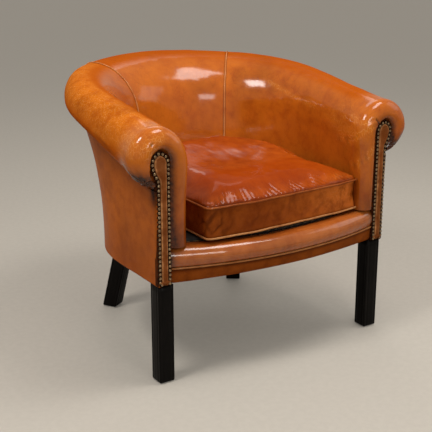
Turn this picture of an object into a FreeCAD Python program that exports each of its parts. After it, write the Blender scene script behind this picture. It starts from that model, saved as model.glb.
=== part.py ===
import FreeCAD, Part
import math
import os

os.makedirs("parts", exist_ok=True)

# Leather tub armchair. Millimetres, +Z up, -Y is the front.
# The origin lies on the floor below the middle of the chair.

# Main sizes: half width over the base rails, floor to frame, and the middle of the round back.
base_half = 341.0
frame_z = 254.0
arc_y = -38.0

# Sheet and fit sizes.
leather = 1.8
hessian = 1.2
layer_gap = 0.4
fit_gap = 0.3
liner_depth = 2.0
offset_precision = 0.003
loft_degree = 3

# Ring of the tub: stations run from the arm front to the middle of the back.
# The first three lie along the straight arm, the rest turn about arc_y.
post_front_y = -288.0
arm_station_step = [0, 78.0, 168.0]
arm_station_y = [post_front_y + step for step in arm_station_step]
arc_station_deg = [0, 14, 28, 41, 54, 66, 78, 90]
seam_index = 7

# Heights above the frame and reaches beyond the base rails, one value for each station.
rim_top_rise = [381.0, 393.0, 406.0, 418.0, 430.0, 441.0, 448.0, 452.0, 456.0, 459.0, 461.0]
crease_rise = [238.0, 253.0, 278.0, 297.0, 309.0, 319.0, 326.0, 330.0, 332.0, 334.0, 334.0]
rim_top_out = [-6.0, -6.0, -5.0, -1.0, 9.0, 21.0, 31.0, 37.0, 38.0, 39.0, 39.0]
rim_out_out = [64.0, 64.0, 64.0, 64.0, 64.0, 64.0, 64.0, 64.0, 64.5, 65.0, 65.5]
rim_out_drop = [66.0, 63.0, 59.0, 54.0, 49.0, 43.0, 37.0, 33.0, 33.0, 33.0, 33.0]
under_out = [53.0, 53.0, 53.0, 54.0, 55.0, 56.0, 57.0, 58.0, 58.0, 58.0, 58.0]
under_drop = [105.0, 103.0, 100.0, 94.0, 88.0, 83.0, 78.0, 75.0, 75.0, 75.0, 75.0]
crease_out = [9.0, 9.0, 9.0, 9.0, 13.0, 16.0, 18.0, 20.0, 21.0, 22.0, 22.0]
shoulder_out = [-57.0, -56.0, -55.0, -54.0, -53.0, -52.0, -50.0, -49.0, -50.0, -50.0, -50.0]
shoulder_drop = [30.0, 30.0, 30.0, 31.0, 32.0, 32.0, 32.0, 32.0, 32.0, 32.0, 32.0]
wall_out = [-73.0, -69.0, -66.0, -68.0, -78.0, -88.0, -95.0, -100.0, -104.0, -106.5, -107.5]
wall_drop = [110.0, 112.0, 114.0, 117.0, 120.0, 123.0, 126.0, 127.0, 127.0, 127.0, 127.0]
low_out = [-70.0, -67.0, -66.0, -73.0, -88.0, -101.0, -111.0, -119.0, -124.0, -127.0, -128.0]
rail_in_out = [-32.0, -32.0, -32.0, -32.0, -36.0, -40.0, -43.0, -45.0, -46.0, -47.0, -47.0]
rim_top_z = [frame_z + rise for rise in rim_top_rise]
crease_z = [frame_z + rise for rise in crease_rise]
rim_top_r = [base_half + out for out in rim_top_out]
rim_out_r = [base_half + out for out in rim_out_out]
under_r = [base_half + out for out in under_out]
crease_r = [base_half + out for out in crease_out]
shoulder_r = [base_half + out for out in shoulder_out]
wall_r = [base_half + out for out in wall_out]
low_r = [base_half + out for out in low_out]
rail_in_r = [base_half + out for out in rail_in_out]

# Base rails, posts and blocks. The round of the base turns about its own middle.
rail_high = 80.0
rail_top_z = frame_z + rail_high
rail_thick = 25.0
base_skin = 5.0
base_arc_ahead = 70.0
base_arc_y = arc_y - base_arc_ahead
straight_rise = 36.0
straight_z = frame_z + straight_rise
post_wide = 27.0
post_in_x = base_half - post_wide
post_depth = 26.0
board_thick = 12.0
board_front_y = post_front_y - board_thick
rail_ahead = 50.0
front_rail_y = post_front_y - rail_ahead
front_rail_bow = 41.6
upright_wide = 44.0
upright_thick = 15.0
upright_deg = 66
block_reach = 90.0
block_ahead = 2.0
block_front_y = post_front_y - block_ahead
block_overlap = 4.0
rear_block_wide = 90.0
rear_block_deep = 34.0

# Top rails, pads and panels of the ring.
pad_depth = 40.0
top_rail_below = 15.0
top_rail_above = 30.0
top_rail_outset = [7.0, 7.0, 8.0, 9.0, 10.5, 12.0, 13.5, 15.0, 16.0, 16.5, 16.5]
panel_top_drop = 2.4

# Seat springs and deck, each layer on the one below.
spring_share = [-0.75, -0.25, 0.25, 0.75]
spring_span = 192.0
spring_wire_r = 1.6
spring_swing = 28.0
spring_pitch = 30.0
spring_rise = 2.0
spring_z = rail_top_z + spring_rise
spring_inset = 12.0
clip_long = 24.0
clip_wide = 16.0
clip_high = 4.4
clip_room = 1.6
hessian_z = rail_top_z + clip_high + fit_gap
deck_pad_z = hessian_z + hessian + fit_gap
deck_pad_high = 4.6
deck_cloth_gap = 0.2
deck_cloth_z = deck_pad_z + deck_pad_high + deck_cloth_gap
deck_cloth_high = 1.0
deck_top_z = deck_cloth_z + deck_cloth_high
deck_side_room = 33.0
deck_half = base_half - deck_side_room
deck_back_r = base_half - deck_side_room
deck_arc_shift = 5.0
deck_arc_y = base_arc_y + deck_arc_shift
deck_front_room = 31.0
deck_front_u = -front_rail_y - deck_front_room
wall_gap = 0.6
wall_foot_z = deck_top_z + wall_gap

# Legs.
leg_side = 41.5
leg_edge = 3.0
front_leg_in = 18.5
front_leg_x = base_half - front_leg_in
front_leg_ahead = 3.2
front_leg_y = post_front_y - front_leg_ahead
glide_high = 3.0
glide_r = 11.0
glide_pin_r = 2.0
glide_pin_long = 14.0
rear_leg_side = 43.0
rear_leg_deg = 56.6
rear_leg_in = 18.0
rear_leg_top_r = base_half - rear_leg_in
rear_leg_splay = 62.0
rear_leg_foot_r = rear_leg_top_r + rear_leg_splay
bolt_r = 4.0
bolt_down = 35.0
bolt_up = 36.0
front_bolt_in = 14.0
front_bolt_x = base_half - front_bolt_in
front_bolt_behind = 9.0
front_bolt_y = post_front_y + front_bolt_behind
rear_bolt_in = 12.5
rear_bolt_r = base_half - rear_bolt_in

# Screws of the corner blocks.
screw_r = 2.2
screw_long = 44.0
screw_head_r = 4.6
screw_head_long = 3.0
screw_rise = 40.0
screw_z = frame_z + screw_rise
screw_bite = 18.0
front_screw_in = 32.0
front_screw_x = post_in_x - front_screw_in
side_screw_behind = 52.0
side_screw_y = post_front_y + side_screw_behind
rear_screw_side = 24.0

# Facing strip at the arm front: across from its inner edge, down from the rim top.
facing_deep = 15.0
facing_front_y = board_front_y - facing_deep
facing_wide = 36.5
facing_out_x = base_half + base_skin
facing_in_x = facing_out_x - facing_wide
facing_foot_rise = 1.5
facing_foot_z = frame_z + facing_foot_rise
facing_top_in = 26.5
facing_top_x = facing_in_x + facing_top_in
facing_top_drop = 52.0
facing_top_z = rim_top_z[0] - facing_top_drop
facing_in_top_drop = 87.0
facing_in_top_z = rim_top_z[0] - facing_in_top_drop
facing_bulge_in = 51.5
facing_bulge_x = facing_in_x + facing_bulge_in
facing_bulge_drop = 83.0
facing_bulge_z = rim_top_z[0] - facing_bulge_drop
facing_neck_in = 37.5
facing_neck_x = facing_in_x + facing_neck_in
facing_neck_drop = 122.0
facing_neck_z = rim_top_z[0] - facing_neck_drop
facing_low_neck_drop = 132.0
facing_low_neck_z = rim_top_z[0] - facing_low_neck_drop
neck_out_share = 0.167
neck_down_share = 0.083
nail_inset = 5.2
nail_pitch = 10.7
nail_head_r = 4.9
nail_head_high = 2.6
nail_shank_r = 0.8
nail_shank_long = 10.0

# Scroll around the facing: guide points along its inner line and the front of the roll.
scroll_guide_in = [-0.3, -0.3, -0.3, 0.1, 3.5, 11.5, 25.5, 42.5, 51.5, 51.0, 47.7, 43.5, 38.7]
scroll_guide_drop = [288.4, 199.0, 113.0, 87.0, 70.0, 57.5, 51.7, 57.5, 77.0, 93.0, 105.0, 114.0, 121.5]
scroll_ahead = [12.0, 13.0, 14.0, 14.0, 14.0, 14.0, 14.0, 13.0, 12.0, 11.0, 10.0, 8.0, 4.0]
scroll_edge = 14.0
scroll_board_edge = 15.5
tongue_rise = 2.4
tongue_top_z = wall_foot_z + tongue_rise

# Front edge between the arms: reaches ahead of the rail, heights from the rail or the frame.
edge_gap = 0.5
edge_half_x = facing_in_x - edge_gap
roll_ahead = [-26.0, 7.0, 31.2, 26.0]
roll_rise = [11.0, 16.0, -14.0, -37.8]
roll_bow_more = 11.4
roll_bow = front_rail_bow + roll_bow_more
roll_end_drop = [2.0, 6.0, 2.0, 0]
roll_u = [ahead - front_rail_y for ahead in roll_ahead]
roll_z = [rail_top_z + rise for rise in roll_rise]
border_ahead = [26.0, 21.5, 10.0, 2.8]
border_rise = [36.8, 16.0, 4.0, 0.8]
border_bow_more = [11.4, 8.4, -0.1, -1.1]
border_top_deg = -96
border_u = [ahead - front_rail_y for ahead in border_ahead]
border_z = [frame_z + rise for rise in border_rise]
border_bow = [front_rail_bow + more for more in border_bow_more]
edge_station_share = [-1.0, -0.66, -0.33, 0, 0.33, 0.66, 1.0]
welt_r = 2.2
welt_ahead = 26.8
welt_u = welt_ahead - front_rail_y
welt_rise = 39.5
welt_z = frame_z + welt_rise
seam_welt_r = 2.0
seam_welt_end_index = 12

# Loose seat cushion, in its own frame, then set into the tub.
cushion_x = 11.5
cushion_ahead = 39.0
cushion_y = arc_y - cushion_ahead
cushion_turn = 3.3
cushion_side_room = 107.0
cushion_half = base_half - cushion_side_room
cushion_arc_y = 3.0
cushion_behind_rail = 10.0
cushion_front = front_rail_y + cushion_behind_rail - cushion_y
cushion_front_r = 1690.0
cushion_corner_r = 28.0
cushion_high = 76.0
crown_rise = [0, 19.0, 34.0, 46.5, 54.0, 57.0]
crown_share = [1.0, 0.968, 0.90, 0.74, 0.50, 0.22]
belly_drop = [0, 4.4, 6.6, 7.6]
belly_share = [1.0, 0.96, 0.80, 0.30]
boxing_share = [1.0, 0.992, 0.986, 0.992, 1.0]
cushion_low_z = deck_top_z + layer_gap + belly_drop[-1]
cushion_high_z = cushion_low_z + cushion_high
piping_r = 3.2
piping_out = 3.7
inner_share = 0.9914
core_share = 0.9895
zip_high = 14.0
zip_thick = 1.4
zip_r_extra = 0.5
zip_deg = 30
slider_wide = 9.0
slider_high = 16.0
slider_thick = 3.0
pull_wide = 5.0
pull_long = 20.0
pull_thick = 1.4

# Dust cover under the seat.
cover_thick = 1.2
cover_inset = 5.0
tack_head_r = 4.0
tack_head_high = 0.8
tack_shank_r = 0.8
tack_long = 9.0
tack_step_deg = 18
tack_side_share = [0.25, 0.6, 0.95]
tack_front_share = [-0.75, -0.5, -0.25, 0, 0.25, 0.5, 0.75]
quarter_deg = 90
half_deg = 180


def vec(x, y, z):
    return FreeCAD.Vector(x, y, z)


def save(name, shape):
    shape.exportStep("parts/" + name + ".step")
    print(name, len(shape.Solids), round(shape.Volume / 1000, 2), shape.isValid())


def mirrored(shape):
    return shape.mirror(vec(0, 0, 0), vec(1, 0, 0))


def save_pair(name, shape):
    save(name + "_right", shape)
    save(name + "_left", mirrored(shape))


def line(a, b):
    return Part.LineSegment(a, b).toShape()


def arc(a, b, c):
    return Part.Arc(a, b, c).toShape()


def loft(wires, ruled=False):
    solid = Part.makeLoft(wires, True, ruled, False, loft_degree)
    if solid.Volume < 0:
        solid.reverse()
    return solid


def prism(points, z, high):
    wire = Part.makePolygon([vec(x, y, z) for x, y in points + points[:1]])
    return Part.Face(wire).extrude(vec(0, 0, high))


def tube(path, radius, start, heading):
    ring = Part.Wire(Part.makeCircle(radius, start, heading))
    return Part.Wire(path).makePipeShell([ring], True, True)


# Chains of tangent arcs in a flat section.
def step_along(a, b, heading):
    # Returns the middle of the arc from a to b and the headings there and at b.
    dx = b[0] - a[0]
    dy = b[1] - a[1]
    chord = math.hypot(dx, dy)
    angle = math.atan2(dy, dx)
    turn = math.remainder(angle - heading, 2 * math.pi)
    sag = chord / 2 * math.tan(turn / 2)
    if abs(sag) < chord / 10000:
        sag = chord / 10000
    mid = ((a[0] + b[0]) / 2 + sag * math.sin(angle), (a[1] + b[1]) / 2 - sag * math.cos(angle))
    return mid, angle, heading + 2 * turn


def chain(knots, start, heading):
    # Knots and arc middles in turn, each with its heading, smooth at every knot.
    after = [(knots[start], heading)]
    for index in range(start, len(knots) - 1):
        mid, mid_heading, end_heading = step_along(knots[index], knots[index + 1], after[-1][1])
        after.append((mid, mid_heading))
        after.append((knots[index + 1], end_heading))
    before = []
    back = heading + math.pi
    for index in range(start, 0, -1):
        mid, mid_heading, end_heading = step_along(knots[index], knots[index - 1], back)
        before.append((mid, mid_heading - math.pi))
        before.append((knots[index - 1], end_heading - math.pi))
        back = end_heading
    return before[::-1] + after


def shifted(points, depth):
    # Moves a chain to its right hand side by the depth.
    return [((p[0] + depth * math.sin(h), p[1] - depth * math.cos(h)), h) for p, h in points]


def chain_edges(points, place):
    spots = [place(p) for p, h in points]
    return [arc(spots[i], spots[i + 1], spots[i + 2]) for i in range(0, len(spots) - 2, 2)]


def sheet_wire(points, depth, place):
    inner = shifted(points, depth)[::-1]
    edges = chain_edges(points, place)
    edges.append(line(place(points[-1][0]), place(inner[0][0])))
    edges += chain_edges(inner, place)
    edges.append(line(place(inner[-1][0]), place(points[0][0])))
    return Part.Wire(edges)


def filled_wire(points, corners, place):
    # Closes a chain with straight lines through the corners.
    spots = [place(points[-1][0])] + [place(c) for c in corners] + [place(points[0][0])]
    edges = chain_edges(points, place)
    edges += [line(spots[i], spots[i + 1]) for i in range(len(spots) - 1)]
    return Part.Wire(edges)


# Stations of the tub ring.
def station(index, front_y=None):
    straight = len(arm_station_y)
    last = straight + len(arc_station_deg) - 1
    row = index if index <= last else 2 * last - index
    if row < straight:
        y = arm_station_y[row]
        if row == 0 and front_y is not None:
            y = front_y
        side = 1 if index <= last else -1
        return row, lambda p: vec(side * p[0], y, p[1])
    angle = math.radians(arc_station_deg[row - straight])
    if index > last:
        angle = math.pi - angle
    return row, lambda p: vec(p[0] * math.cos(angle), arc_y + p[0] * math.sin(angle), p[1])


def inside_chain(row):
    top = rim_top_z[row]
    knots = [(low_r[row], wall_foot_z),
             (wall_r[row], top - wall_drop[row]),
             (shoulder_r[row], top - shoulder_drop[row]),
             (rim_top_r[row], top),
             (rim_out_r[row], top - rim_out_drop[row]),
             (under_r[row], top - under_drop[row]),
             (crease_r[row], crease_z[row])]
    return chain(knots, 3, 0)


def base_reach(row):
    # Reach of the outer leather from the middle of the tub, down at the base rails.
    full = base_half + base_skin
    straight = len(arm_station_y)
    if row < straight:
        return full
    angle = math.radians(arc_station_deg[row - straight])
    across = base_arc_ahead * math.cos(angle)
    return math.sqrt(full * full - across * across) - base_arc_ahead * math.sin(angle)


def outside_chain(row):
    # Runs downwards, so that the inside of the chair is on its right.
    low = base_reach(row)
    knots = [(crease_r[row], crease_z[row] - panel_top_drop), (low, straight_z), (low, frame_z)]
    return chain(knots, 1, -math.pi / 2)


def ring_loft(indexes, wire_of, front_y=None):
    wires = []
    for index in indexes:
        row, place = station(index, front_y)
        wires.append(wire_of(row, place))
    return loft(wires)


def inside_sheet(row, place):
    return sheet_wire(inside_chain(row), leather, place)


def outside_sheet(row, place):
    return sheet_wire(outside_chain(row), leather, place)


def pad_wire(row, place):
    skin = shifted(inside_chain(row), leather + layer_gap)
    end = skin[-1][0]
    rail_out = crease_r[row] - top_rail_outset[row] + layer_gap
    rail_top = crease_z[row] + top_rail_above + layer_gap
    rail_in = rail_in_r[row] - layer_gap
    rail_low = crease_z[row] - top_rail_below
    corners = [(rail_out, end[1]), (rail_out, rail_top), (rail_in, rail_top),
               (rail_in, rail_low), (low_r[row] + pad_depth, wall_foot_z)]
    return filled_wire(skin, corners, place)


def quad_wire(points, place):
    spots = [place(p) for p in points]
    return Part.Wire([line(spots[i], spots[(i + 1) % len(spots)]) for i in range(len(spots))])


def hessian_wire(row, place):
    low = low_r[row] + pad_depth + fit_gap
    high = rail_in_r[row] + fit_gap
    top = crease_z[row] - top_rail_below - fit_gap
    return quad_wire([(low, wall_foot_z), (low + hessian, wall_foot_z),
                      (high + hessian, top), (high, top)], place)


def liner_wire(row, place):
    points = shifted(outside_chain(row), leather + layer_gap)
    return sheet_wire(points, liner_depth, place)


def top_rail_wire(row, place):
    out = crease_r[row] - top_rail_outset[row]
    low = crease_z[row] - top_rail_below
    high = crease_z[row] + top_rail_above
    return quad_wire([(rail_in_r[row], low), (out, low), (out, high), (rail_in_r[row], high)], place)


def arm_indexes():
    return range(0, seam_index + 1)


def back_indexes():
    last = len(arm_station_y) + len(arc_station_deg) - 1
    return range(seam_index, 2 * last - seam_index + 1)


def seam_welt(points, end):
    row, place = station(seam_index)
    path = shifted(points[:end], -seam_welt_r - layer_gap / 2)
    start = place(path[0][0])
    ahead = place((path[0][0][0] + math.cos(path[0][1]), path[0][0][1] + math.sin(path[0][1])))
    return tube(chain_edges(path, place), seam_welt_r, start, ahead - start)


def bow(x, depth, half):
    radius = (half * half + depth * depth) / (2 * depth)
    return radius - math.sqrt(radius * radius - x * x)


# Base frame.
def base_ring(outer, thick, y):
    inner = outer - thick
    edges = [arc(vec(outer, y, frame_z), vec(0, y + outer, frame_z), vec(-outer, y, frame_z)),
             line(vec(-outer, y, frame_z), vec(-inner, y, frame_z)),
             arc(vec(-inner, y, frame_z), vec(0, y + inner, frame_z), vec(inner, y, frame_z)),
             line(vec(inner, y, frame_z), vec(outer, y, frame_z))]
    return Part.Face(Part.Wire(edges)).extrude(vec(0, 0, rail_top_z - frame_z))


def side_rail():
    back = post_front_y + post_depth
    return Part.makeBox(rail_thick, base_arc_y - back, rail_top_z - frame_z,
                        vec(base_half - rail_thick, back, frame_z))


def front_rail():
    ends = front_rail_y + front_rail_bow
    edges = [arc(vec(-post_in_x, ends, frame_z), vec(0, front_rail_y, frame_z),
                 vec(post_in_x, ends, frame_z)),
             line(vec(post_in_x, ends, frame_z), vec(post_in_x, ends + rail_thick, frame_z)),
             arc(vec(post_in_x, ends + rail_thick, frame_z), vec(0, front_rail_y + rail_thick, frame_z),
                 vec(-post_in_x, ends + rail_thick, frame_z)),
             line(vec(-post_in_x, ends + rail_thick, frame_z), vec(-post_in_x, ends, frame_z))]
    return Part.Face(Part.Wire(edges)).extrude(vec(0, 0, rail_top_z - frame_z))


def arm_post(top_rail):
    high = crease_z[0] - frame_z
    post = Part.makeBox(base_half - post_in_x, post_depth, high, vec(post_in_x, post_front_y, frame_z))
    return lowest(post.cut(top_rail))


def lowest(shape):
    return sorted(shape.Solids, key=lambda s: s.BoundBox.ZMin)[0]


def largest(shape):
    return sorted(shape.Solids, key=lambda s: s.Volume)[-1]


def back_upright(top_rail):
    last = len(arm_station_y) + arc_station_deg.index(upright_deg)
    angle = math.radians(upright_deg)
    out = vec(math.cos(angle), math.sin(angle), 0)
    side = vec(-math.sin(angle), math.cos(angle), 0)
    foot = low_r[last] + pad_depth + hessian + 2 * fit_gap
    head = rail_in_r[last] + hessian + 2 * fit_gap
    top = crease_z[last]
    lean = (head - foot) / (top - top_rail_below - rail_top_z)
    wires = []
    for z, r in ((rail_top_z, foot), (top, head + lean * top_rail_below)):
        spots = [vec(0, arc_y, z) + out * a + side * b
                 for a, b in ((r, -upright_wide / 2), (r + upright_thick, -upright_wide / 2),
                              (r + upright_thick, upright_wide / 2), (r, upright_wide / 2))]
        wires.append(Part.makePolygon(spots + spots[:1]))
    return lowest(loft(wires, True).cut(top_rail))


# Legs, glides and bolts.
def leg_wire(centre, out, side, size):
    half = size / 2
    cut = half - leg_edge
    spots = [centre + out * a + side * b for a, b in ((half, cut), (cut, half), (-cut, half), (-half, cut),
                                                      (-half, -cut), (-cut, -half), (cut, -half), (half, -cut))]
    return Part.makePolygon(spots + spots[:1])


def front_leg():
    out = vec(1, 0, 0)
    side = vec(0, 1, 0)
    wires = [leg_wire(vec(front_leg_x, front_leg_y, z), out, side, leg_side) for z in (glide_high, frame_z)]
    return loft(wires, True)


def rear_spot(r, z):
    angle = math.radians(rear_leg_deg)
    return vec(r * math.cos(angle), base_arc_y + r * math.sin(angle), z)


def rear_leg():
    angle = math.radians(rear_leg_deg)
    out = vec(math.cos(angle), math.sin(angle), 0)
    side = vec(-math.sin(angle), math.cos(angle), 0)
    wires = [leg_wire(rear_spot(r, z), out, side, rear_leg_side)
             for r, z in ((rear_leg_foot_r, glide_high), (rear_leg_top_r, frame_z))]
    return loft(wires, True)


def glide(x, y, extra):
    disc = Part.makeCylinder(glide_r, glide_high, vec(x, y, 0))
    pin = Part.makeCylinder(glide_pin_r + extra, glide_pin_long + extra, vec(x, y, glide_high))
    return pin if extra else disc.fuse(pin)


def leg_bolt(x, y, extra):
    return Part.makeCylinder(bolt_r + extra, bolt_down + bolt_up + 2 * extra,
                             vec(x, y, frame_z - bolt_down - extra))


def screw(spot, heading, extra):
    # Runs into the rail from the block; the wider end gives room for the head.
    shank = Part.makeCylinder(screw_r + extra, screw_long + extra, spot, heading)
    head_long = screw_head_long
    head_r = screw_head_r
    if extra:
        head_long = screw_long
        head_r = screw_head_r + extra
    head = Part.makeCylinder(head_r, head_long, spot - heading * head_long, heading)
    return shank.fuse(head)


def front_screws(extra):
    front_inner = front_rail_y + rail_thick + bow(front_screw_x, front_rail_bow, post_in_x)
    to_front = screw(vec(front_screw_x, front_inner + screw_long - screw_bite, screw_z), vec(0, -1, 0), extra)
    to_side = screw(vec(base_half - rail_thick - screw_long + screw_bite, side_screw_y, screw_z),
                    vec(1, 0, 0), extra)
    return [to_front, to_side]


def rear_screws(extra):
    angle = math.radians(rear_leg_deg)
    out = vec(math.cos(angle), math.sin(angle), 0)
    side = vec(-math.sin(angle), math.cos(angle), 0)
    start = rear_spot(base_half - rail_thick - screw_long + screw_bite, screw_z)
    return [screw(start + side * step, out, extra) for step in (-rear_screw_side, rear_screw_side)]


def front_block(cutters):
    outer = base_half - rail_thick + block_overlap
    points = [(outer, block_front_y), (outer, block_front_y + block_reach), (outer - block_reach, block_front_y)]
    block = prism(points, frame_z, rail_top_z - frame_z)
    for cutter in cutters:
        block = block.cut(cutter)
    return largest(block)


def rear_block(cutters):
    angle = math.radians(rear_leg_deg)
    out = vec(math.cos(angle), math.sin(angle), 0)
    side = vec(-math.sin(angle), math.cos(angle), 0)
    inner = base_half - rail_thick
    half = rear_block_wide / 2
    spots = [rear_spot(inner, frame_z) + out * a + side * b
             for a, b in ((-rear_block_deep, -half), (block_overlap, -half),
                          (block_overlap, half), (-rear_block_deep, half))]
    block = Part.Face(Part.makePolygon(spots + spots[:1])).extrude(vec(0, 0, rail_top_z - frame_z))
    for cutter in cutters:
        block = block.cut(cutter)
    return largest(block)


# Scroll at the arm front.
def refined(points):
    # Adds the middle of every stretch of a chain.
    dense = [points[0]]
    for (a, heading), (b, after) in zip(points, points[1:]):
        mid, mid_heading, end_heading = step_along(a, b, heading)
        dense += [(mid, mid_heading), (b, after)]
    return dense


def eased(values):
    # Adds a smooth value between every two of a row.
    row = [values[0]]
    for i in range(len(values) - 1):
        before = values[max(i - 1, 0)]
        after = values[min(i + 2, len(values) - 1)]
        row.append((9 * (values[i] + values[i + 1]) - before - after) / 16)
        row.append(values[i + 1])
    return row


def scroll_frames():
    # The inner line follows the edge of the facing, the outer one the arm.
    frames = []
    outer_points = refined(inside_chain(0))
    edge = Part.Face(facing_wire(facing_front_y)).makeOffset2D(2 * layer_gap).OuterWire
    rows = zip(eased(scroll_guide_in), eased(scroll_guide_drop), outer_points, eased(scroll_ahead))
    for guide_in, guide_drop, (outer, heading), ahead in rows:
        guide = Part.Vertex(facing_in_x + guide_in, facing_front_y, rim_top_z[0] - guide_drop)
        near = edge.distToShape(guide)[1][0][0]
        n_x = near.x
        n_z = near.z
        wide = math.hypot(outer[0] - n_x, outer[1] - n_z)
        ex = (outer[0] - n_x) / wide
        ez = (outer[1] - n_z) / wide
        frames.append((n_x, n_z, ex, ez, wide, facing_front_y - ahead))
    return frames


def scroll_wires(depth):
    # Sections across the front roll: a thin leather bow, or its filling.
    wires = []
    for n_x, n_z, ex, ez, wide, front in scroll_frames():
        def place(e, y):
            return vec(n_x + ex * e, y, n_z + ez * e)
        outer = [(0, facing_front_y), (wide / 2, front), (wide, post_front_y)]
        cover = leather + layer_gap
        deep = leather if depth == 0 else cover
        inner = [(0, facing_front_y + deep), (wide / 2, front + deep), (wide - deep, post_front_y)]
        edge = wide - scroll_edge
        if depth == 0:
            edges = [arc(place(*outer[0]), place(*outer[1]), place(*outer[2])),
                     line(place(*outer[2]), place(*inner[2])),
                     arc(place(*inner[2]), place(*inner[1]), place(*inner[0])),
                     line(place(*inner[0]), place(*outer[0]))]
        else:
            foot = board_front_y - fit_gap
            spots = [inner[2], (edge, post_front_y), (edge, foot), (0, foot), inner[0]]
            edges = [arc(place(*inner[0]), place(*inner[1]), place(*inner[2]))]
            edges += [line(place(*spots[i]), place(*spots[i + 1])) for i in range(len(spots) - 1)]
        wires.append(Part.Wire(edges))
    return wires


def scroll_board():
    deep = post_front_y - board_front_y
    spots = [(post_in_x, frame_z), (post_in_x, tongue_top_z)]
    for n_x, n_z, ex, ez, wide, front in scroll_frames():
        reach = wide - scroll_board_edge
        spots.append((n_x + ex * reach, max(n_z + ez * reach, tongue_top_z)))
    spots += [(base_half, spots[-1][1]), (base_half, frame_z)]
    corners = [vec(x, board_front_y, z) for x, z in spots]
    return Part.Face(Part.makePolygon(corners + corners[:1])).extrude(vec(0, deep, 0))


def facing_wire(y):
    def spot(x, z):
        return vec(x, y, z)
    curve_x = facing_top_x - facing_in_x
    curve_z = facing_top_z - facing_in_top_z
    lean = math.sin(math.pi / 4)
    out_x = facing_bulge_x - facing_top_x
    out_z = facing_top_z - facing_bulge_z
    top = arc(spot(facing_in_x, facing_in_top_z),
              spot(facing_top_x - curve_x * lean, facing_in_top_z + curve_z * lean),
              spot(facing_top_x, facing_top_z))
    bulge = arc(spot(facing_top_x, facing_top_z),
                spot(facing_top_x + out_x * lean, facing_bulge_z + out_z * lean),
                spot(facing_bulge_x, facing_bulge_z))
    neck_wide = facing_bulge_x - facing_neck_x
    neck_mid_x = (facing_bulge_x + facing_neck_x) / 2 + neck_wide * neck_out_share
    neck_mid_z = (facing_bulge_z + facing_neck_z) / 2 - neck_wide * neck_down_share
    neck = arc(spot(facing_bulge_x, facing_bulge_z), spot(neck_mid_x, neck_mid_z),
               spot(facing_neck_x, facing_neck_z))
    edges = [line(spot(facing_in_x, facing_foot_z), spot(facing_in_x, facing_in_top_z)), top, bulge, neck,
             line(spot(facing_neck_x, facing_neck_z), spot(facing_out_x, facing_low_neck_z)),
             line(spot(facing_out_x, facing_low_neck_z), spot(facing_out_x, facing_foot_z)),
             line(spot(facing_out_x, facing_foot_z), spot(facing_in_x, facing_foot_z))]
    return Part.Wire(edges)


def nail_spots():
    face = Part.Face(facing_wire(facing_front_y))
    path = face.makeOffset2D(-nail_inset).OuterWire
    count = int(round(path.Length / nail_pitch))
    return path.discretize(Number=count + 1)[:-1]


def nail(spot, extra):
    shank = Part.makeCylinder(nail_shank_r + extra, nail_shank_long + extra, spot, vec(0, 1, 0))
    if extra:
        return shank
    ball = (nail_head_r ** 2 + nail_head_high ** 2) / (2 * nail_head_high)
    low = math.degrees(math.asin((ball - nail_head_high) / ball))
    centre = spot + vec(0, ball - nail_head_high, 0)
    dome = Part.makeSphere(ball, centre, vec(0, -1, 0), low, 90, 360)
    return dome.fuse(shank)


def facing():
    face = Part.Face(facing_wire(facing_front_y))
    strip = face.extrude(vec(0, board_front_y - fit_gap - facing_front_y, 0))
    holes = [nail(spot, fit_gap / 2) for spot in nail_spots()]
    return strip.cut(Part.makeCompound(holes))


def facing_nails():
    return Part.makeCompound([nail(spot, 0) for spot in nail_spots()])


# Front edge: border below the welt, roll above it, one foam nosing behind.
def border_chain(x):
    # Knots drawn back towards the arms by their own bows.
    knots = [(u - bow(x, b, edge_half_x), z) for u, z, b in zip(border_u, border_z, border_bow)]
    return chain(knots, 0, math.radians(border_top_deg))


def flat_place(x):
    return lambda p: vec(x, -p[0], p[1])


def roll_chain(x):
    # The roll bows to the front in the middle and flattens towards the arms.
    share = (x / edge_half_x) ** 2
    knots = [(u - bow(x, roll_bow, edge_half_x), z - drop * share)
             for u, z, drop in zip(roll_u, roll_z, roll_end_drop)]
    return chain(knots, 1, 0)


def front_roll():
    wires = [sheet_wire(roll_chain(x), leather, flat_place(x)) for x in edge_x()]
    return loft(wires)


def front_border():
    wires = [sheet_wire(border_chain(x), leather, flat_place(x)) for x in edge_x()]
    return loft(wires)


def edge_x():
    return [share * edge_half_x for share in edge_station_share]


def rail_front_u(x):
    return -front_rail_y - bow(x, front_rail_bow, post_in_x) + layer_gap


def front_edge_pad():
    # One foam nosing: its upper part sits on the rail, the rest hangs in front of it.
    wires = []
    for x in edge_x():
        place = flat_place(x)
        skin = shifted(roll_chain(x), leather + layer_gap)
        under = shifted(border_chain(x)[:5], leather + layer_gap)
        face_u = rail_front_u(x)
        top = rail_top_z + fit_gap
        edges = chain_edges(skin, place)
        edges.append(line(place(skin[-1][0]), place(under[0][0])))
        edges += chain_edges(under, place)
        step_u = face_u - rail_thick + spring_inset + clip_wide / 2 + clip_room
        step_z = rail_top_z + clip_high + fit_gap
        spots = [under[-1][0], (face_u, under[-1][0][1]), (face_u, top), (step_u, top),
                 (step_u, step_z), (skin[0][0][0], step_z), skin[0][0]]
        edges += [line(place(a), place(b)) for a, b in zip(spots, spots[1:])]
        wires.append(Part.Wire(edges))
    return loft(wires)


def front_welt():
    ends = -(welt_u - roll_bow)
    path = arc(vec(-edge_half_x, ends, welt_z), vec(0, -welt_u, welt_z), vec(edge_half_x, ends, welt_z))
    return tube([path], welt_r, vec(-edge_half_x, ends, welt_z), path.tangentAt(path.FirstParameter))


# Seat springs and deck.
def spring_ends(x):
    front = front_rail_y + rail_thick + bow(x, front_rail_bow, post_in_x) - spring_inset
    inner = base_half - rail_thick
    back = base_arc_y + math.sqrt(inner * inner - x * x) + spring_inset
    return front, back


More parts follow.
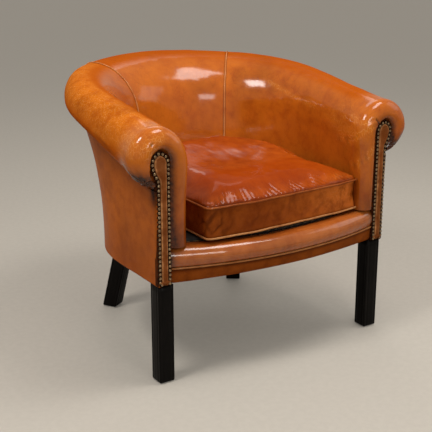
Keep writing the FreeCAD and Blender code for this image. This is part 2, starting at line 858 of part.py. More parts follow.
def seat_spring(x):
    front, back = spring_ends(x)
    count = int((back - front) / spring_pitch)
    step = (back - front) / count
    half = step / 2
    edges = []
    lead = vec(x, front, spring_z)
    for index in range(count):
        side = 1 if index % 2 else -1
        y0 = front + index * step
        near = vec(x + side * (spring_swing - half), y0, spring_z)
        far = vec(x + side * (spring_swing - half), y0 + step, spring_z)
        peak = vec(x + side * spring_swing, y0 + half, spring_z)
        edges.append(line(lead, near))
        edges.append(arc(near, peak, far))
        lead = far
    edges.append(line(lead, vec(x, back, spring_z)))
    start = vec(x, front, spring_z)
    return tube(edges, spring_wire_r, start, edges[0].tangentAt(edges[0].FirstParameter))


def spring_clip(x, y):
    # A channel over the end bar of the spring, nailed flat on the rail.
    block = Part.makeBox(clip_long, clip_wide, clip_high, vec(x - clip_long / 2, y - clip_wide / 2, rail_top_z))
    room = spring_wire_r + fit_gap
    slot = Part.makeBox(clip_long, 2 * room, spring_z + room - rail_top_z,
                        vec(x - clip_long / 2, y - room, rail_top_z))
    return block.cut(slot)


def deck_outline(z, shrink):
    ends = -(deck_front_u - roll_bow) + shrink
    front = -deck_front_u + shrink
    side = deck_half - shrink
    rear = deck_back_r - shrink
    edges = [arc(vec(-side, ends, z), vec(0, front, z), vec(side, ends, z)),
             line(vec(side, ends, z), vec(side, deck_arc_y, z)),
             arc(vec(side, deck_arc_y, z), vec(0, deck_arc_y + rear, z), vec(-side, deck_arc_y, z)),
             line(vec(-side, deck_arc_y, z), vec(-side, ends, z))]
    return Part.Wire(edges)


def deck_sheet(z, high, shrink):
    return Part.Face(deck_outline(z, shrink)).extrude(vec(0, 0, high))


# Loose cushion.
def cushion_spot(x, y, z):
    turn = math.radians(cushion_turn)
    return vec(cushion_x + x * math.cos(turn) - y * math.sin(turn),
               cushion_y + x * math.sin(turn) + y * math.cos(turn), z)


def cushion_edges(share, z, grow=0):
    # Bowed front, rounded front corners, straight sides and a half round back.
    scale = share * (1 + grow / cushion_half)

    def spot(x, y):
        return cushion_spot(x * scale, y * scale, z)
    half = cushion_half
    side = half - cushion_corner_r
    reach = cushion_front_r - cushion_corner_r
    front_y = cushion_front + cushion_front_r
    corner_y = front_y - math.sqrt(reach * reach - side * side)
    slope = math.atan2(side, front_y - corner_y)
    end_x = cushion_front_r * math.sin(slope)
    end_y = front_y - cushion_front_r * math.cos(slope)
    turn = (math.pi / 2 + slope) / 2
    mid_x = side + cushion_corner_r * math.sin(turn)
    mid_y = corner_y - cushion_corner_r * math.cos(turn)
    lean = half * math.sin(math.pi / 4)
    back = cushion_arc_y
    return [arc(spot(-end_x, end_y), spot(0, cushion_front), spot(end_x, end_y)),
            arc(spot(end_x, end_y), spot(mid_x, mid_y), spot(half, corner_y)),
            line(spot(half, corner_y), spot(half, back)),
            arc(spot(half, back), spot(lean, back + lean), spot(0, back + half)),
            arc(spot(0, back + half), spot(-lean, back + lean), spot(-half, back)),
            line(spot(-half, back), spot(-half, corner_y)),
            arc(spot(-half, corner_y), spot(-mid_x, mid_y), spot(-end_x, end_y))]


def cushion_loft(shares, heights, factor, depth, ruled=False):
    wires = [Part.Wire(cushion_edges(share * factor, z + depth)) for share, z in zip(shares, heights)]
    if heights[0] > heights[-1]:
        wires.reverse()
    return loft(wires, ruled)


def crown_heights():
    return [cushion_high_z + rise for rise in crown_rise]


def belly_heights():
    return [cushion_low_z - drop for drop in belly_drop]


def boxing_heights():
    steps = len(boxing_share) - 1
    return [cushion_low_z + (cushion_high_z - cushion_low_z) * i / steps for i in range(steps + 1)]


def cushion_top():
    outer = cushion_loft(crown_share, crown_heights(), 1.0, 0)
    inner = cushion_loft(crown_share, crown_heights(), inner_share, -leather)
    return outer.cut(inner)


def cushion_bottom():
    outer = cushion_loft(belly_share, belly_heights(), 1.0, 0, True)
    inner = cushion_loft(belly_share, belly_heights(), inner_share, leather, True)
    return outer.cut(inner)


def cushion_boxing():
    outer = cushion_loft(boxing_share, boxing_heights(), 1.0, 0)
    inner = cushion_loft(boxing_share, boxing_heights(), inner_share, 0)
    return outer.cut(inner)


def cushion_core():
    # One foam block: crown, waist and belly under the cover.
    side = cushion_loft(boxing_share, boxing_heights(), core_share, 0)
    crown = cushion_loft(crown_share, crown_heights(), core_share, -leather - layer_gap)
    belly = cushion_loft(belly_share, belly_heights(), core_share, leather + layer_gap, True)
    return side.fuse([crown, belly])


def piping(z):
    edges = cushion_edges(1.0, z, piping_out)
    first = edges[0]
    ring = Part.Wire(Part.makeCircle(piping_r, first.valueAt(first.FirstParameter),
                                     first.tangentAt(first.FirstParameter)))
    return Part.Wire(edges).makePipeShell([ring], True, True)


def ring_block(inner, thick, low, high, half_wide_deg):
    # A curved strip about the middle of the cushion back.
    from_deg = quarter_deg - half_wide_deg
    mid = quarter_deg
    to_deg = quarter_deg + half_wide_deg
    def spot(r, deg, z):
        angle = math.radians(deg)
        return cushion_spot(r * math.cos(angle), cushion_arc_y + r * math.sin(angle), z)
    outer = inner + thick
    edges = [arc(spot(outer, from_deg, low), spot(outer, mid, low), spot(outer, to_deg, low)),
             line(spot(outer, to_deg, low), spot(inner, to_deg, low)),
             arc(spot(inner, to_deg, low), spot(inner, mid, low), spot(inner, from_deg, low)),
             line(spot(inner, from_deg, low), spot(outer, from_deg, low))]
    return Part.Face(Part.Wire(edges)).extrude(vec(0, 0, high - low))


def zip_level():
    return (cushion_low_z + cushion_high_z) / 2


def zip_inner():
    # The tape lies on the drawn-in middle of the boxing.
    return cushion_half * min(boxing_share) + zip_r_extra


def cushion_zip():
    inner = zip_inner()
    low = zip_level() - zip_high / 2
    return ring_block(inner, zip_thick, low, low + zip_high, zip_deg)


def zip_slider():
    inner = zip_inner() + zip_thick + fit_gap
    wide = math.degrees(slider_wide / inner) / 2
    low = zip_level() - slider_high / 2
    body = ring_block(inner, slider_thick, low, low + slider_high, wide)
    narrow = math.degrees(pull_wide / inner) / 2
    face = inner + slider_thick - pull_thick / 2
    pull = ring_block(face, pull_thick, low - pull_long / 2, low + slider_high / 2, narrow)
    return body.fuse(pull)


# Dust cover and its tacks.
def tack_spots():
    middle = base_half - rail_thick / 2
    first = post_front_y + post_depth
    along = [first + (base_arc_y - first) * share for share in tack_side_share]
    spots = [(side * middle, y) for y in along for side in (-1, 1)]
    turn = tack_step_deg
    while turn < half_deg:
        angle = math.radians(turn)
        off_leg = abs(turn - quarter_deg) - (quarter_deg - rear_leg_deg)
        clear = abs(math.remainder(off_leg, half_deg)) > tack_step_deg / 2
        if clear:
            spots.append((middle * math.cos(angle), base_arc_y + middle * math.sin(angle)))
        turn += tack_step_deg
    for share in tack_front_share:
        x = share * post_in_x
        spots.append((x, front_rail_y + rail_thick / 2 + bow(x, front_rail_bow, post_in_x)))
    return spots


def tack(x, y, extra):
    low = frame_z - cover_thick
    shank = Part.makeCylinder(tack_shank_r + extra, tack_long + extra, vec(x, y, low))
    if extra:
        return shank
    return shank.fuse(Part.makeCylinder(tack_head_r, tack_head_high, vec(x, y, low - tack_head_high)))


def dust_cover(cutters):
    side = base_half - cover_inset
    ends = front_rail_y + front_rail_bow + cover_inset
    front = front_rail_y + cover_inset
    low = frame_z - cover_thick
    edges = [arc(vec(-side, ends, low), vec(0, front, low), vec(side, ends, low)),
             line(vec(side, ends, low), vec(side, base_arc_y, low)),
             arc(vec(side, base_arc_y, low), vec(0, base_arc_y + side, low), vec(-side, base_arc_y, low)),
             line(vec(-side, base_arc_y, low), vec(-side, ends, low))]
    cover = Part.Face(Part.Wire(edges)).extrude(vec(0, 0, cover_thick))
    for cutter in cutters:
        cover = cover.cut(cutter)
    return largest(cover)


def build_frame():
    arm_top = ring_loft(arm_indexes(), top_rail_wire)
    back_top = ring_loft(back_indexes(), top_rail_wire)
    post = arm_post(arm_top)
    upright = back_upright(back_top)
    front = front_rail()
    side = side_rail()
    back = base_ring(base_half, rail_thick, base_arc_y)

    tacks = [tack(x, y, fit_gap / 2) for x, y in tack_spots()]
    tack_tool = Part.makeCompound(tacks)
    front_tool = [s for s in front_screws(fit_gap)]
    rear_tool = [s for s in rear_screws(fit_gap)]
    rear_bolt_spot = rear_spot(rear_bolt_r, frame_z)
    bolt_tools = [leg_bolt(front_bolt_x, front_bolt_y, fit_gap),
                  leg_bolt(rear_bolt_spot.x, rear_bolt_spot.y, fit_gap)]
    block_front = front_block([front, side, post] + front_tool)
    block_rear = rear_block([back] + rear_tool)

    both = front_tool + rear_tool + bolt_tools
    both = both + [mirrored(tool) for tool in both]
    tools = Part.makeCompound(both)
    save("front_rail", front.cut(tools).cut(tack_tool))
    save_pair("side_rail", side.cut(Part.makeCompound(front_tool)).cut(tack_tool))
    save("back_rail", back.cut(tools).cut(tack_tool))
    save("corner_blocks", Part.makeCompound([block_front, mirrored(block_front), block_rear, mirrored(block_rear)]))
    save_pair("arm_post", post.cut(bolt_tools[0]))
    save_pair("arm_rail", arm_top)
    save("back_top_rail", back_top)
    save_pair("back_upright", upright)
    save_pair("scroll_board", scroll_board())

    screws = front_screws(0) + rear_screws(0)
    save("corner_screws", Part.makeCompound(screws + [mirrored(s) for s in screws]))
    bolts = [leg_bolt(front_bolt_x, front_bolt_y, 0), leg_bolt(rear_bolt_spot.x, rear_bolt_spot.y, 0)]
    save("leg_bolts", Part.makeCompound(bolts + [mirrored(b) for b in bolts]))

    front_l = front_leg()
    rear_l = rear_leg()
    foot = rear_spot(rear_leg_foot_r, 0)
    pins = [glide(front_leg_x, front_leg_y, fit_gap), glide(foot.x, foot.y, fit_gap)]
    save_pair("front_leg", front_l.cut(pins[0]).cut(bolt_tools[0]))
    save_pair("rear_leg", rear_l.cut(pins[1]).cut(bolt_tools[1]))
    glides = [glide(front_leg_x, front_leg_y, 0), glide(foot.x, foot.y, 0)]
    save("foot_glides", Part.makeCompound(glides + [mirrored(g) for g in glides]))

    spread = [front_l, rear_l]
    room = [leg.makeOffsetShape(fit_gap, offset_precision, join=2) for leg in spread]
    room = room + [mirrored(r) for r in room]
    save("dust_cover", dust_cover(room + [tack_tool]))
    save("cover_tacks", Part.makeCompound([tack(x, y, 0) for x, y in tack_spots()]))


def build_seat():
    spring_x = [share * spring_span for share in spring_share]
    springs = [seat_spring(x) for x in spring_x]
    save("seat_springs", Part.makeCompound(springs))
    clips = [spring_clip(x, y) for x in spring_x for y in spring_ends(x)]
    save("spring_clips", Part.makeCompound(clips))
    save("seat_hessian", deck_sheet(hessian_z, hessian, 0))
    save("deck_pad", deck_sheet(deck_pad_z, deck_pad_high, leather))
    save("deck_cloth", deck_sheet(deck_cloth_z, deck_cloth_high, 0))


def build_covers():
    save_pair("arm_pad", ring_loft(arm_indexes(), pad_wire))
    save("back_pad", ring_loft(back_indexes(), pad_wire))
    save("back_hessian", ring_loft(back_indexes(), hessian_wire))
    arm_liner = ring_loft(arm_indexes(), liner_wire, board_front_y)
    back_liner = ring_loft(back_indexes(), liner_wire)
    save("outside_liner", Part.makeCompound([arm_liner, mirrored(arm_liner), back_liner]))
    save_pair("inside_arm", ring_loft(arm_indexes(), inside_sheet))
    save("inside_back", ring_loft(back_indexes(), inside_sheet))
    save_pair("outside_arm", ring_loft(arm_indexes(), outside_sheet, board_front_y))
    save("outside_back", ring_loft(back_indexes(), outside_sheet))
    save_pair("scroll_cover", loft(scroll_wires(0), True))
    save_pair("scroll_pad", loft(scroll_wires(1), True))
    save_pair("facing", facing())
    save_pair("facing_nails", facing_nails())
    save("front_edge_pad", front_edge_pad())
    save("front_roll", front_roll())
    save("front_border", front_border())
    save("front_welt", front_welt())
    welts = [seam_welt(inside_chain(seam_index), seam_welt_end_index), seam_welt(outside_chain(seam_index), None)]
    save("seam_welts", Part.makeCompound(welts + [mirrored(w) for w in welts]))


def build_cushion():
    save("cushion_core", cushion_core())
    save("cushion_top", cushion_top())
    save("cushion_boxing", cushion_boxing())
    save("cushion_bottom", cushion_bottom())
    save("cushion_piping", Part.makeCompound([piping(cushion_low_z), piping(cushion_high_z)]))
    save("cushion_zip", cushion_zip())
    save("zip_slider", zip_slider())


build_frame()
build_seat()
build_covers()
build_cushion()
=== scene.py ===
import math
import bmesh
import bpy
import numpy as np
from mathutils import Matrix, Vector
from mathutils.bvhtree import BVHTree


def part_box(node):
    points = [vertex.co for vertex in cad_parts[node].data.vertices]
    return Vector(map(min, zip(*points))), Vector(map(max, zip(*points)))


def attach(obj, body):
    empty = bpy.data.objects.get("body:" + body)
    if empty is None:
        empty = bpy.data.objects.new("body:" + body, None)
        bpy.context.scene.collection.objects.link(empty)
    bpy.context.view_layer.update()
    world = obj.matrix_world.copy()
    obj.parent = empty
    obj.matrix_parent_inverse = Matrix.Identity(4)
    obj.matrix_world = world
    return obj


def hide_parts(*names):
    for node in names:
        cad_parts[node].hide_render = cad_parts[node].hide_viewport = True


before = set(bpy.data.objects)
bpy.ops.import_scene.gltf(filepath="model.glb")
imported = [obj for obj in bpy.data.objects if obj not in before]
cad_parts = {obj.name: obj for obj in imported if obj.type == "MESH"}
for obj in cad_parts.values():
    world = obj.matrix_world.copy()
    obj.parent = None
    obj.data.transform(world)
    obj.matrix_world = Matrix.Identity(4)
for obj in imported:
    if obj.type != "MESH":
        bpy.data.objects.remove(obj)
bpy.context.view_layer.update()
print("frame loaded", len(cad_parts), "nodes")

mm = 0.001


# small helpers for sections and curves
def stepAlong(a, b, heading):
    dx, dy = b[0] - a[0], b[1] - a[1]
    angle = math.atan2(dy, dx)
    return math.hypot(dx, dy), angle, math.remainder(angle - heading, 2 * math.pi)


def chainPoints(knots, start, heading, count):
    # smooth arcs through the knots, count points on every span
    def run(line, head):
        points = [line[0]]
        for a, b in zip(line, line[1:]):
            chord, angle, turn = stepAlong(a, b, head)
            for i in range(1, count + 1):
                share = i / count
                if abs(turn) < 1e-4:
                    reach, lean = chord * share, 0
                else:
                    reach = chord * math.sin(turn * share) / math.sin(turn)
                    lean = turn * (share - 1)
                points.append((a[0] + reach * math.cos(angle + lean), a[1] + reach * math.sin(angle + lean)))
            head = head + 2 * turn
        return points
    after = run(knots[start:], heading)
    before = run(knots[start::-1], heading + math.pi)
    return np.array(before[:0:-1] + after)


def arcThree(a, b, c, count):
    # count + 1 points from a through b to c
    a, b, c = (np.array(p, float) for p in (a, b, c))
    u, v = b - a, c - a
    cross = u[0] * v[1] - u[1] * v[0]
    if abs(cross) < 1e-9:
        return np.array([a + (c - a) * i / count for i in range(count + 1)])
    uu, vv = u @ u, v @ v
    centre = a + np.array([v[1] * uu - u[1] * vv, u[0] * vv - v[0] * uu]) / (2 * cross)
    first = math.atan2(*(a - centre)[::-1])
    mid = math.atan2(*(b - centre)[::-1])
    last = math.atan2(*(c - centre)[::-1])
    toMid = math.remainder(mid - first, 2 * math.pi)
    toLast = math.remainder(last - first, 2 * math.pi)
    if toMid * toLast < 0 or abs(toMid) > abs(toLast):
        toLast -= math.copysign(2 * math.pi, toLast)
    radius = np.linalg.norm(a - centre)
    angles = first + toLast * np.linspace(0, 1, count + 1)
    return centre + radius * np.stack([np.cos(angles), np.sin(angles)], 1)


def splineAt(knots, values, at):
    # natural cubic spline through rows of values
    knots = np.array(knots, float)
    values = np.array(values, float)
    shape = values.shape[1:]
    flat = values.reshape(len(knots), -1)
    h = np.diff(knots)
    size = len(knots)
    matrix = np.eye(size)
    right = np.zeros_like(flat)
    for i in range(1, size - 1):
        matrix[i, i - 1:i + 2] = h[i - 1], 2 * (h[i - 1] + h[i]), h[i]
        right[i] = 6 * ((flat[i + 1] - flat[i]) / h[i] - (flat[i] - flat[i - 1]) / h[i - 1])
    bend = np.linalg.solve(matrix, right)
    at = np.array(at, float)
    k = np.clip(np.searchsorted(knots, at) - 1, 0, size - 2)
    t0, t1, step = (knots[k + 1] - at)[:, None], (at - knots[k])[:, None], h[k][:, None]
    out = (bend[k] * t0 ** 3 + bend[k + 1] * t1 ** 3) / (6 * step)
    out += (flat[k] / step - bend[k] * step / 6) * t0 + (flat[k + 1] / step - bend[k + 1] * step / 6) * t1
    return out.reshape((len(at),) + shape)


def smoothStep(low, high, value):
    t = np.clip((value - low) / (high - low), 0, 1)
    return t * t * (3 - 2 * t)


def bump(value, middle, wide):
    return np.exp(-((value - middle) / wide) ** 2)


def closeTo(distance, wide):
    # 1 on the spot, almost nothing two widths away
    return bump(distance, 0, wide)


def calmEnds(share, first, last, end=1.0):
    # 0 at both ends, 1 between them
    return smoothStep(0, first, share) * smoothStep(0, last, end - share)


def wobble(points, size, seed, octaves=3):
    # smooth value noise, from about -1 to 1
    total = np.zeros(len(points))
    strength = 1.0
    for octave in range(octaves):
        rng = np.random.RandomState(seed + 17 * octave)
        table = rng.uniform(-1, 1, 4096)
        p = points / size * 2 ** octave + 91.3
        cell = np.floor(p).astype(int)
        f = p - cell
        f = f * f * (3 - 2 * f)
        value = 0
        for dx in (0, 1):
            for dy in (0, 1):
                for dz in (0, 1):
                    key = (cell[:, 0] + dx) * 374761393 + (cell[:, 1] + dy) * 668265263 + (cell[:, 2] + dz) * 2147483647
                    pick = table[(key ^ (key >> 13)) % 4096]
                    weight = np.abs(1 - dx - f[:, 0]) * np.abs(1 - dy - f[:, 1]) * np.abs(1 - dz - f[:, 2])
                    value = value + pick * weight
        total += value * strength
        strength *= 0.5
    return total


def meshFrom(name, verts, faces, smooth=True):
    mesh = bpy.data.meshes.new(name)
    mesh.from_pydata([tuple(v) for v in verts], [], faces)
    mesh.update()
    piece = bpy.data.objects.new(name, mesh)
    bpy.context.scene.collection.objects.link(piece)
    if smooth:
        mesh.polygons.foreach_set("use_smooth", [True] * len(mesh.polygons))
    return piece


def layFlat(piece, flat):
    # flat coordinates for every corner, from one pair for every vertex
    layer = piece.data.uv_layers.new(name="flat")
    index = np.zeros(len(piece.data.loops), int)
    piece.data.loops.foreach_get("vertex_index", index)
    layer.data.foreach_set("uv", flat.reshape(-1, 2)[index].astype(np.float32).ravel())


def paint(piece, shape=None, **layers):
    # one soft mask for every vertex, read by the materials
    shape = shape or len(piece.data.vertices)
    for name, values in layers.items():
        layer = piece.data.attributes.new(name, "FLOAT", "POINT")
        values = np.broadcast_to(np.asarray(values, np.float32), shape)
        layer.data.foreach_set("value", np.clip(values.ravel(), 0, 1))


def gridNormals(grid, closed=False):
    across = np.roll(grid, -1, 1) - np.roll(grid, 1, 1) if closed else np.gradient(grid, axis=1)
    normal = np.cross(across, np.gradient(grid, axis=0))
    return normal / np.maximum(np.linalg.norm(normal, axis=2, keepdims=True), 1e-12)


def lifted(grid, amount, closed=False):
    return grid + gridNormals(grid, closed) * amount[..., None]


def spotsOf(mesh):
    spots = np.zeros(len(mesh.vertices) * 3)
    mesh.vertices.foreach_get("co", spots)
    return spots.reshape(-1, 3)


def gridPiece(name, grid, uv, closed=False, flip=False):
    # a sheet of quads from rows of points, with its own flat coordinates
    rows, columns = grid.shape[:2]
    faces = []
    for i in range(rows - 1):
        for j in range(columns if closed else columns - 1):
            k = (j + 1) % columns
            quad = (i * columns + j, i * columns + k, (i + 1) * columns + k, (i + 1) * columns + j)
            faces.append(quad[::-1] if flip else quad)
    piece = meshFrom(name, grid.reshape(-1, 3), faces)
    layFlat(piece, uv)
    return piece


def tubePiece(name, path, radius, sides=10, closed=False):
    # a welt along a dense line of points, capped unless it runs round
    path = np.array(path, float)
    count = len(path)
    ahead = np.roll(path, -1, 0) - np.roll(path, 1, 0)
    if not closed:
        ahead[0], ahead[-1] = path[1] - path[0], path[-1] - path[-2]
    ahead /= np.linalg.norm(ahead, axis=1, keepdims=True)
    side = np.cross(ahead[0], [0.13, 0.29, 0.95])    # any direction off the path starts the rings
    side /= np.linalg.norm(side)
    turn = np.linspace(0, 2 * math.pi, sides, endpoint=False)
    rings = []
    for i in range(count):
        side = side - ahead[i] * (side @ ahead[i])
        side /= np.linalg.norm(side)
        other = np.cross(ahead[i], side)
        rings.append(path[i] + radius * (np.cos(turn)[:, None] * side + np.sin(turn)[:, None] * other))
    faces = []
    for i in range(count if closed else count - 1):
        k = (i + 1) % count
        for j in range(sides):
            m = (j + 1) % sides
            faces.append((i * sides + j, i * sides + m, k * sides + m, k * sides + j))
    if not closed:
        faces.append(tuple(range(sides))[::-1])
        faces.append(tuple((count - 1) * sides + j for j in range(sides)))
    piece = meshFrom(name, np.array(rings).reshape(-1, 3), faces)
    length = np.concatenate([[0], np.cumsum(np.linalg.norm(np.diff(path, axis=0), axis=1))])
    share = np.linspace(0, 1, sides, endpoint=False)
    layFlat(piece, np.stack([np.repeat(length, sides), np.tile(share, count)], 1))
    return piece


def turnedOut(piece, ends=(), around=0, smooth=False):
    # close the end rings that start at the named vertices, and turn every face outwards
    mesh = bmesh.new()
    mesh.from_mesh(piece.data)
    mesh.verts.ensure_lookup_table()
    for first in ends:
        mesh.faces.new([mesh.verts[first + k] for k in range(around)])
    bmesh.ops.recalc_face_normals(mesh, faces=mesh.faces)
    mesh.to_mesh(piece.data)
    mesh.free()
    if smooth:
        piece.data.polygons.foreach_set("use_smooth", [True] * len(piece.data.polygons))


# ring of the tub: the same stations as the frame, heights and reaches in millimetres
ring = {
    "arcY": -38.0, "baseHalf": 341.0, "frameZ": 254.0, "footZ": 346.6,
    "armY": [-288.0, -210.0, -120.0], "arcDeg": [0, 14, 28, 41, 54, 66, 78, 90], "seam": 7,
    "topRise": [381, 393, 406, 418, 430, 441, 448, 452, 456, 459, 461],
    "creaseRise": [238, 258, 291, 317, 333, 341, 345, 348, 349, 350, 350],
    "topOut": [-6, -6, -5, -1, 9, 21, 31, 37, 38, 39, 39],
    "rimOut": [64, 64, 64, 64, 64, 64, 64, 64, 64.5, 65, 65.5],
    "rimDrop": [66, 63, 59, 54, 49, 43, 37, 33, 33, 33, 33],
    "underOut": [53, 53, 52, 52, 53, 54, 57, 58, 58, 58, 58],
    "underDrop": [105, 98, 88, 78, 71, 67, 63, 61, 61, 61, 61],
    "creaseOut": [9, 9.2, 9.4, 10.8, 19, 24.4, 27.1, 30.2, 31.6, 32.5, 32.7],
    "shoulderOut": [-57, -56, -55, -54, -53, -52, -50, -49, -50, -50, -50],
    "shoulderDrop": [30, 30, 30, 31, 32, 32, 32, 32, 32, 32, 32],
    "wallOut": [-73, -69, -66, -68, -78, -88, -95, -100, -104, -106.5, -107.5],
    "wallDrop": [110, 112, 114, 117, 120, 123, 126, 127, 127, 127, 127],
    "lowOut": [-70, -67, -66, -73, -88, -101, -111, -119, -124, -127, -128],
    "padOut": 5.0, "baseShift": 70.0, "span": 15, "step": 5.0,
}
# outside leather: steps in from its foot and up from the frame
hem = {"tuck": 2.4, "straightUp": 36.0, "span": 34, "turn": [(0.0, 3.0), (0.9, 0.9), (3.0, 0.2)],
       "under": [(5.0, 0.1), (9.0, 0.1)], "frontY": -300.0}
lastRow = len(ring["armY"]) + len(ring["arcDeg"]) - 1
stations = range(2 * lastRow + 1)
farSeam = 2 * lastRow - ring["seam"]
topColumn = 3 * ring["span"]


def ringRow(index):
    # the far half of the ring repeats the near half's sections
    return index if index <= lastRow else 2 * lastRow - index


def ringSpot(index, points, frontY=None):
    straight = len(ring["armY"])
    row = ringRow(index)
    side = 1 if index <= lastRow else -1
    if row < straight:
        y = ring["armY"][row] if row or frontY is None else frontY
        return np.stack([side * points[:, 0], np.full(len(points), y), points[:, 1]], 1)
    angle = math.radians(ring["arcDeg"][row - straight])
    return np.stack([side * points[:, 0] * math.cos(angle), ring["arcY"] + points[:, 0] * math.sin(angle),
                     points[:, 1]], 1)


def insideSection(row):
    top = ring["frameZ"] + ring["topRise"][row]
    half = ring["baseHalf"]
    knots = [(half + ring["lowOut"][row], ring["footZ"]),
             (half + ring["wallOut"][row], top - ring["wallDrop"][row]),
             (half + ring["shoulderOut"][row], top - ring["shoulderDrop"][row]),
             (half + ring["topOut"][row], top),
             (half + ring["rimOut"][row], top - ring["rimDrop"][row]),
             (half + ring["underOut"][row], top - ring["underDrop"][row]),
             (half + ring["creaseOut"][row], ring["frameZ"] + ring["creaseRise"][row])]
    return chainPoints(knots, 3, 0, ring["span"])


def baseReach(row):
    # the foot follows a circle whose middle lies ahead of the ring's own
    full, shift = ring["baseHalf"] + ring["padOut"], ring["baseShift"]
    straight = len(ring["armY"])
    if row < straight:
        return full
    angle = math.radians(ring["arcDeg"][row - straight])
    return math.sqrt(full ** 2 - (shift * math.cos(angle)) ** 2) - shift * math.sin(angle)


def outsideSection(row):
    low, z = baseReach(row), ring["frameZ"]
    crease = (ring["baseHalf"] + ring["creaseOut"][row], z + ring["creaseRise"][row] - hem["tuck"])
    turn = [(low - inwards, z + up) for inwards, up in hem["turn"]]
    under = [(low - inwards, z + up) for inwards, up in hem["under"]]
    body = chainPoints([crease, (low, z + hem["straightUp"]), turn[0]], 1, -math.pi / 2, hem["span"])
    return np.concatenate([body, arcThree(*turn, 5)[1:], under])


insideRows = np.array([ringSpot(i, insideSection(ringRow(i))) for i in stations])
outsideRows = np.array([ringSpot(i, outsideSection(ringRow(i)), hem["frontY"]) for i in stations])


def stationMarks(rows, knot):
    # distance round the ring at one height, used as the spline's knots
    line = rows[:, knot]
    return np.concatenate([[0], np.cumsum(np.linalg.norm(np.diff(line, axis=0), axis=1))])


insideMarks = stationMarks(insideRows, topColumn)
outsideMarks = stationMarks(outsideRows, hem["span"])


# facing strip at the arm front, outline in the plane x, z
facing = {"inX": 309.5, "outX": 346.0, "footZ": 255.5, "inTopZ": 548.0, "topX": 336.0, "topZ": 583.0,
          "bulgeX": 361.0, "bulgeZ": 552.0, "neckX": 347.0, "neckZ": 513.0, "lowNeckZ": 503.0, "frontY": -315.0}


def facingOutline(count=24):
    f = facing
    lean = math.sin(math.pi / 4)
    topMid = (f["topX"] - (f["topX"] - f["inX"]) * lean, f["inTopZ"] + (f["topZ"] - f["inTopZ"]) * lean)
    bulgeMid = (f["topX"] + (f["bulgeX"] - f["topX"]) * lean, f["bulgeZ"] + (f["topZ"] - f["bulgeZ"]) * lean)
    wide = f["bulgeX"] - f["neckX"]
    neckMid = ((f["bulgeX"] + f["neckX"]) / 2 + wide / 6, (f["bulgeZ"] + f["neckZ"]) / 2 - wide / 12)
    up = np.linspace((f["inX"], f["footZ"]), (f["inX"], f["inTopZ"]), 60)
    top = arcThree((f["inX"], f["inTopZ"]), topMid, (f["topX"], f["topZ"]), count)
    bulge = arcThree((f["topX"], f["topZ"]), bulgeMid, (f["bulgeX"], f["bulgeZ"]), count)
    neck = arcThree((f["bulgeX"], f["bulgeZ"]), neckMid, (f["neckX"], f["neckZ"]), count)
    low = np.linspace((f["outX"], f["lowNeckZ"]), (f["outX"], f["footZ"]), 60)
    return np.concatenate([up[:-1], top[:-1], bulge[:-1], neck, low])


outline = facingOutline()


def outlineDistance(points, line=outline):
    # distance from points in x, z to the open outline
    a, b = line[:-1], line[1:]
    edge = b - a
    size = np.maximum((edge ** 2).sum(1), 1e-9)
    best = np.full(len(points), 1e9)
    nearest = np.zeros((len(points), 2))
    for start in range(0, len(points), 4000):
        p = points[start:start + 4000]
        t = np.clip(((p[:, None] - a) * edge).sum(2) / size, 0, 1)
        foot = a + t[..., None] * edge
        d = np.linalg.norm(p[:, None] - foot, axis=2)
        k = d.argmin(1)
        best[start:start + 4000] = d[np.arange(len(p)), k]
        nearest[start:start + 4000] = foot[np.arange(len(p)), k]
    return best, nearest


# the rolled scroll at the arm front: how the roll's edge guides in to the nails
scroll = {
    "guideIn": [-0.3, -0.3, -0.3, 0.1, 3.5, 11.5, 25.5, 42.5, 51.5, 51.0, 47.7, 43.5, 38.7],
    "guideDrop": [288.4, 199.0, 113.0, 87.0, 70.0, 57.5, 51.7, 57.5, 77.0, 93.0, 105.0, 114.0, 121.5],
    "ahead": [12.0, 13.0, 14.0, 14.0, 14.0, 14.0, 14.0, 13.0, 12.0, 11.0, 10.0, 8.0, 4.0],
    "topZ": 635.0, "startY": -288.0, "deep": 27.0, "aheadShare": 0.9, "face": 26.0,
    "columns": 28, "dip": 7.0, "square": 0.8, "puff": 0.03,
}


def scrollCap():
    # columns of points from the arm section over the front roll to the nails
    outer = insideSection(0)
    knots = np.arange(len(scroll["ahead"]))
    marks = np.linspace(0, knots[-1], len(outer))
    spots = np.stack([facing["inX"] + np.array(scroll["guideIn"]), scroll["topZ"] - np.array(scroll["guideDrop"])], 1)
    guide = splineAt(knots, spots, marks)
    ahead = splineAt(knots, np.array(scroll["ahead"])[:, None], marks)[:, 0]
    _, inner = outlineDistance(guide)
    columns = np.zeros((scroll["columns"], len(outer), 3))
    turn = np.linspace(0, math.pi / 2, scroll["columns"] + 1)[1:]
    for j in range(len(outer)):
        flat = outer[j] - inner[j]
        wide = np.linalg.norm(flat)
        unit = flat / wide
        reach = wide * np.cos(turn) ** scroll["square"] * (1 + scroll["puff"] * np.sin(2 * turn))
        deep = scroll["deep"] + scroll["aheadShare"] * ahead[j]
        dipped = (deep - scroll["face"]) * closeTo(reach, scroll["dip"])
        columns[:, j, 0] = inner[j, 0] + unit[0] * reach
        columns[:, j, 1] = scroll["startY"] - deep * np.sin(turn) ** scroll["square"] + dipped
        columns[:, j, 2] = inner[j, 1] + unit[1] * reach
    return columns


# leather of arm and back, rolled over the rim
def armSheet():
    seam = insideMarks[ring["seam"]]
    count = int(seam / ring["step"])
    along = splineAt(insideMarks, insideRows, np.linspace(0, seam, count + 1))
    return np.concatenate([scrollCap()[::-1], along]), scroll["columns"]


armGrid, capColumns = armSheet()
print("arm sheet", armGrid.shape)


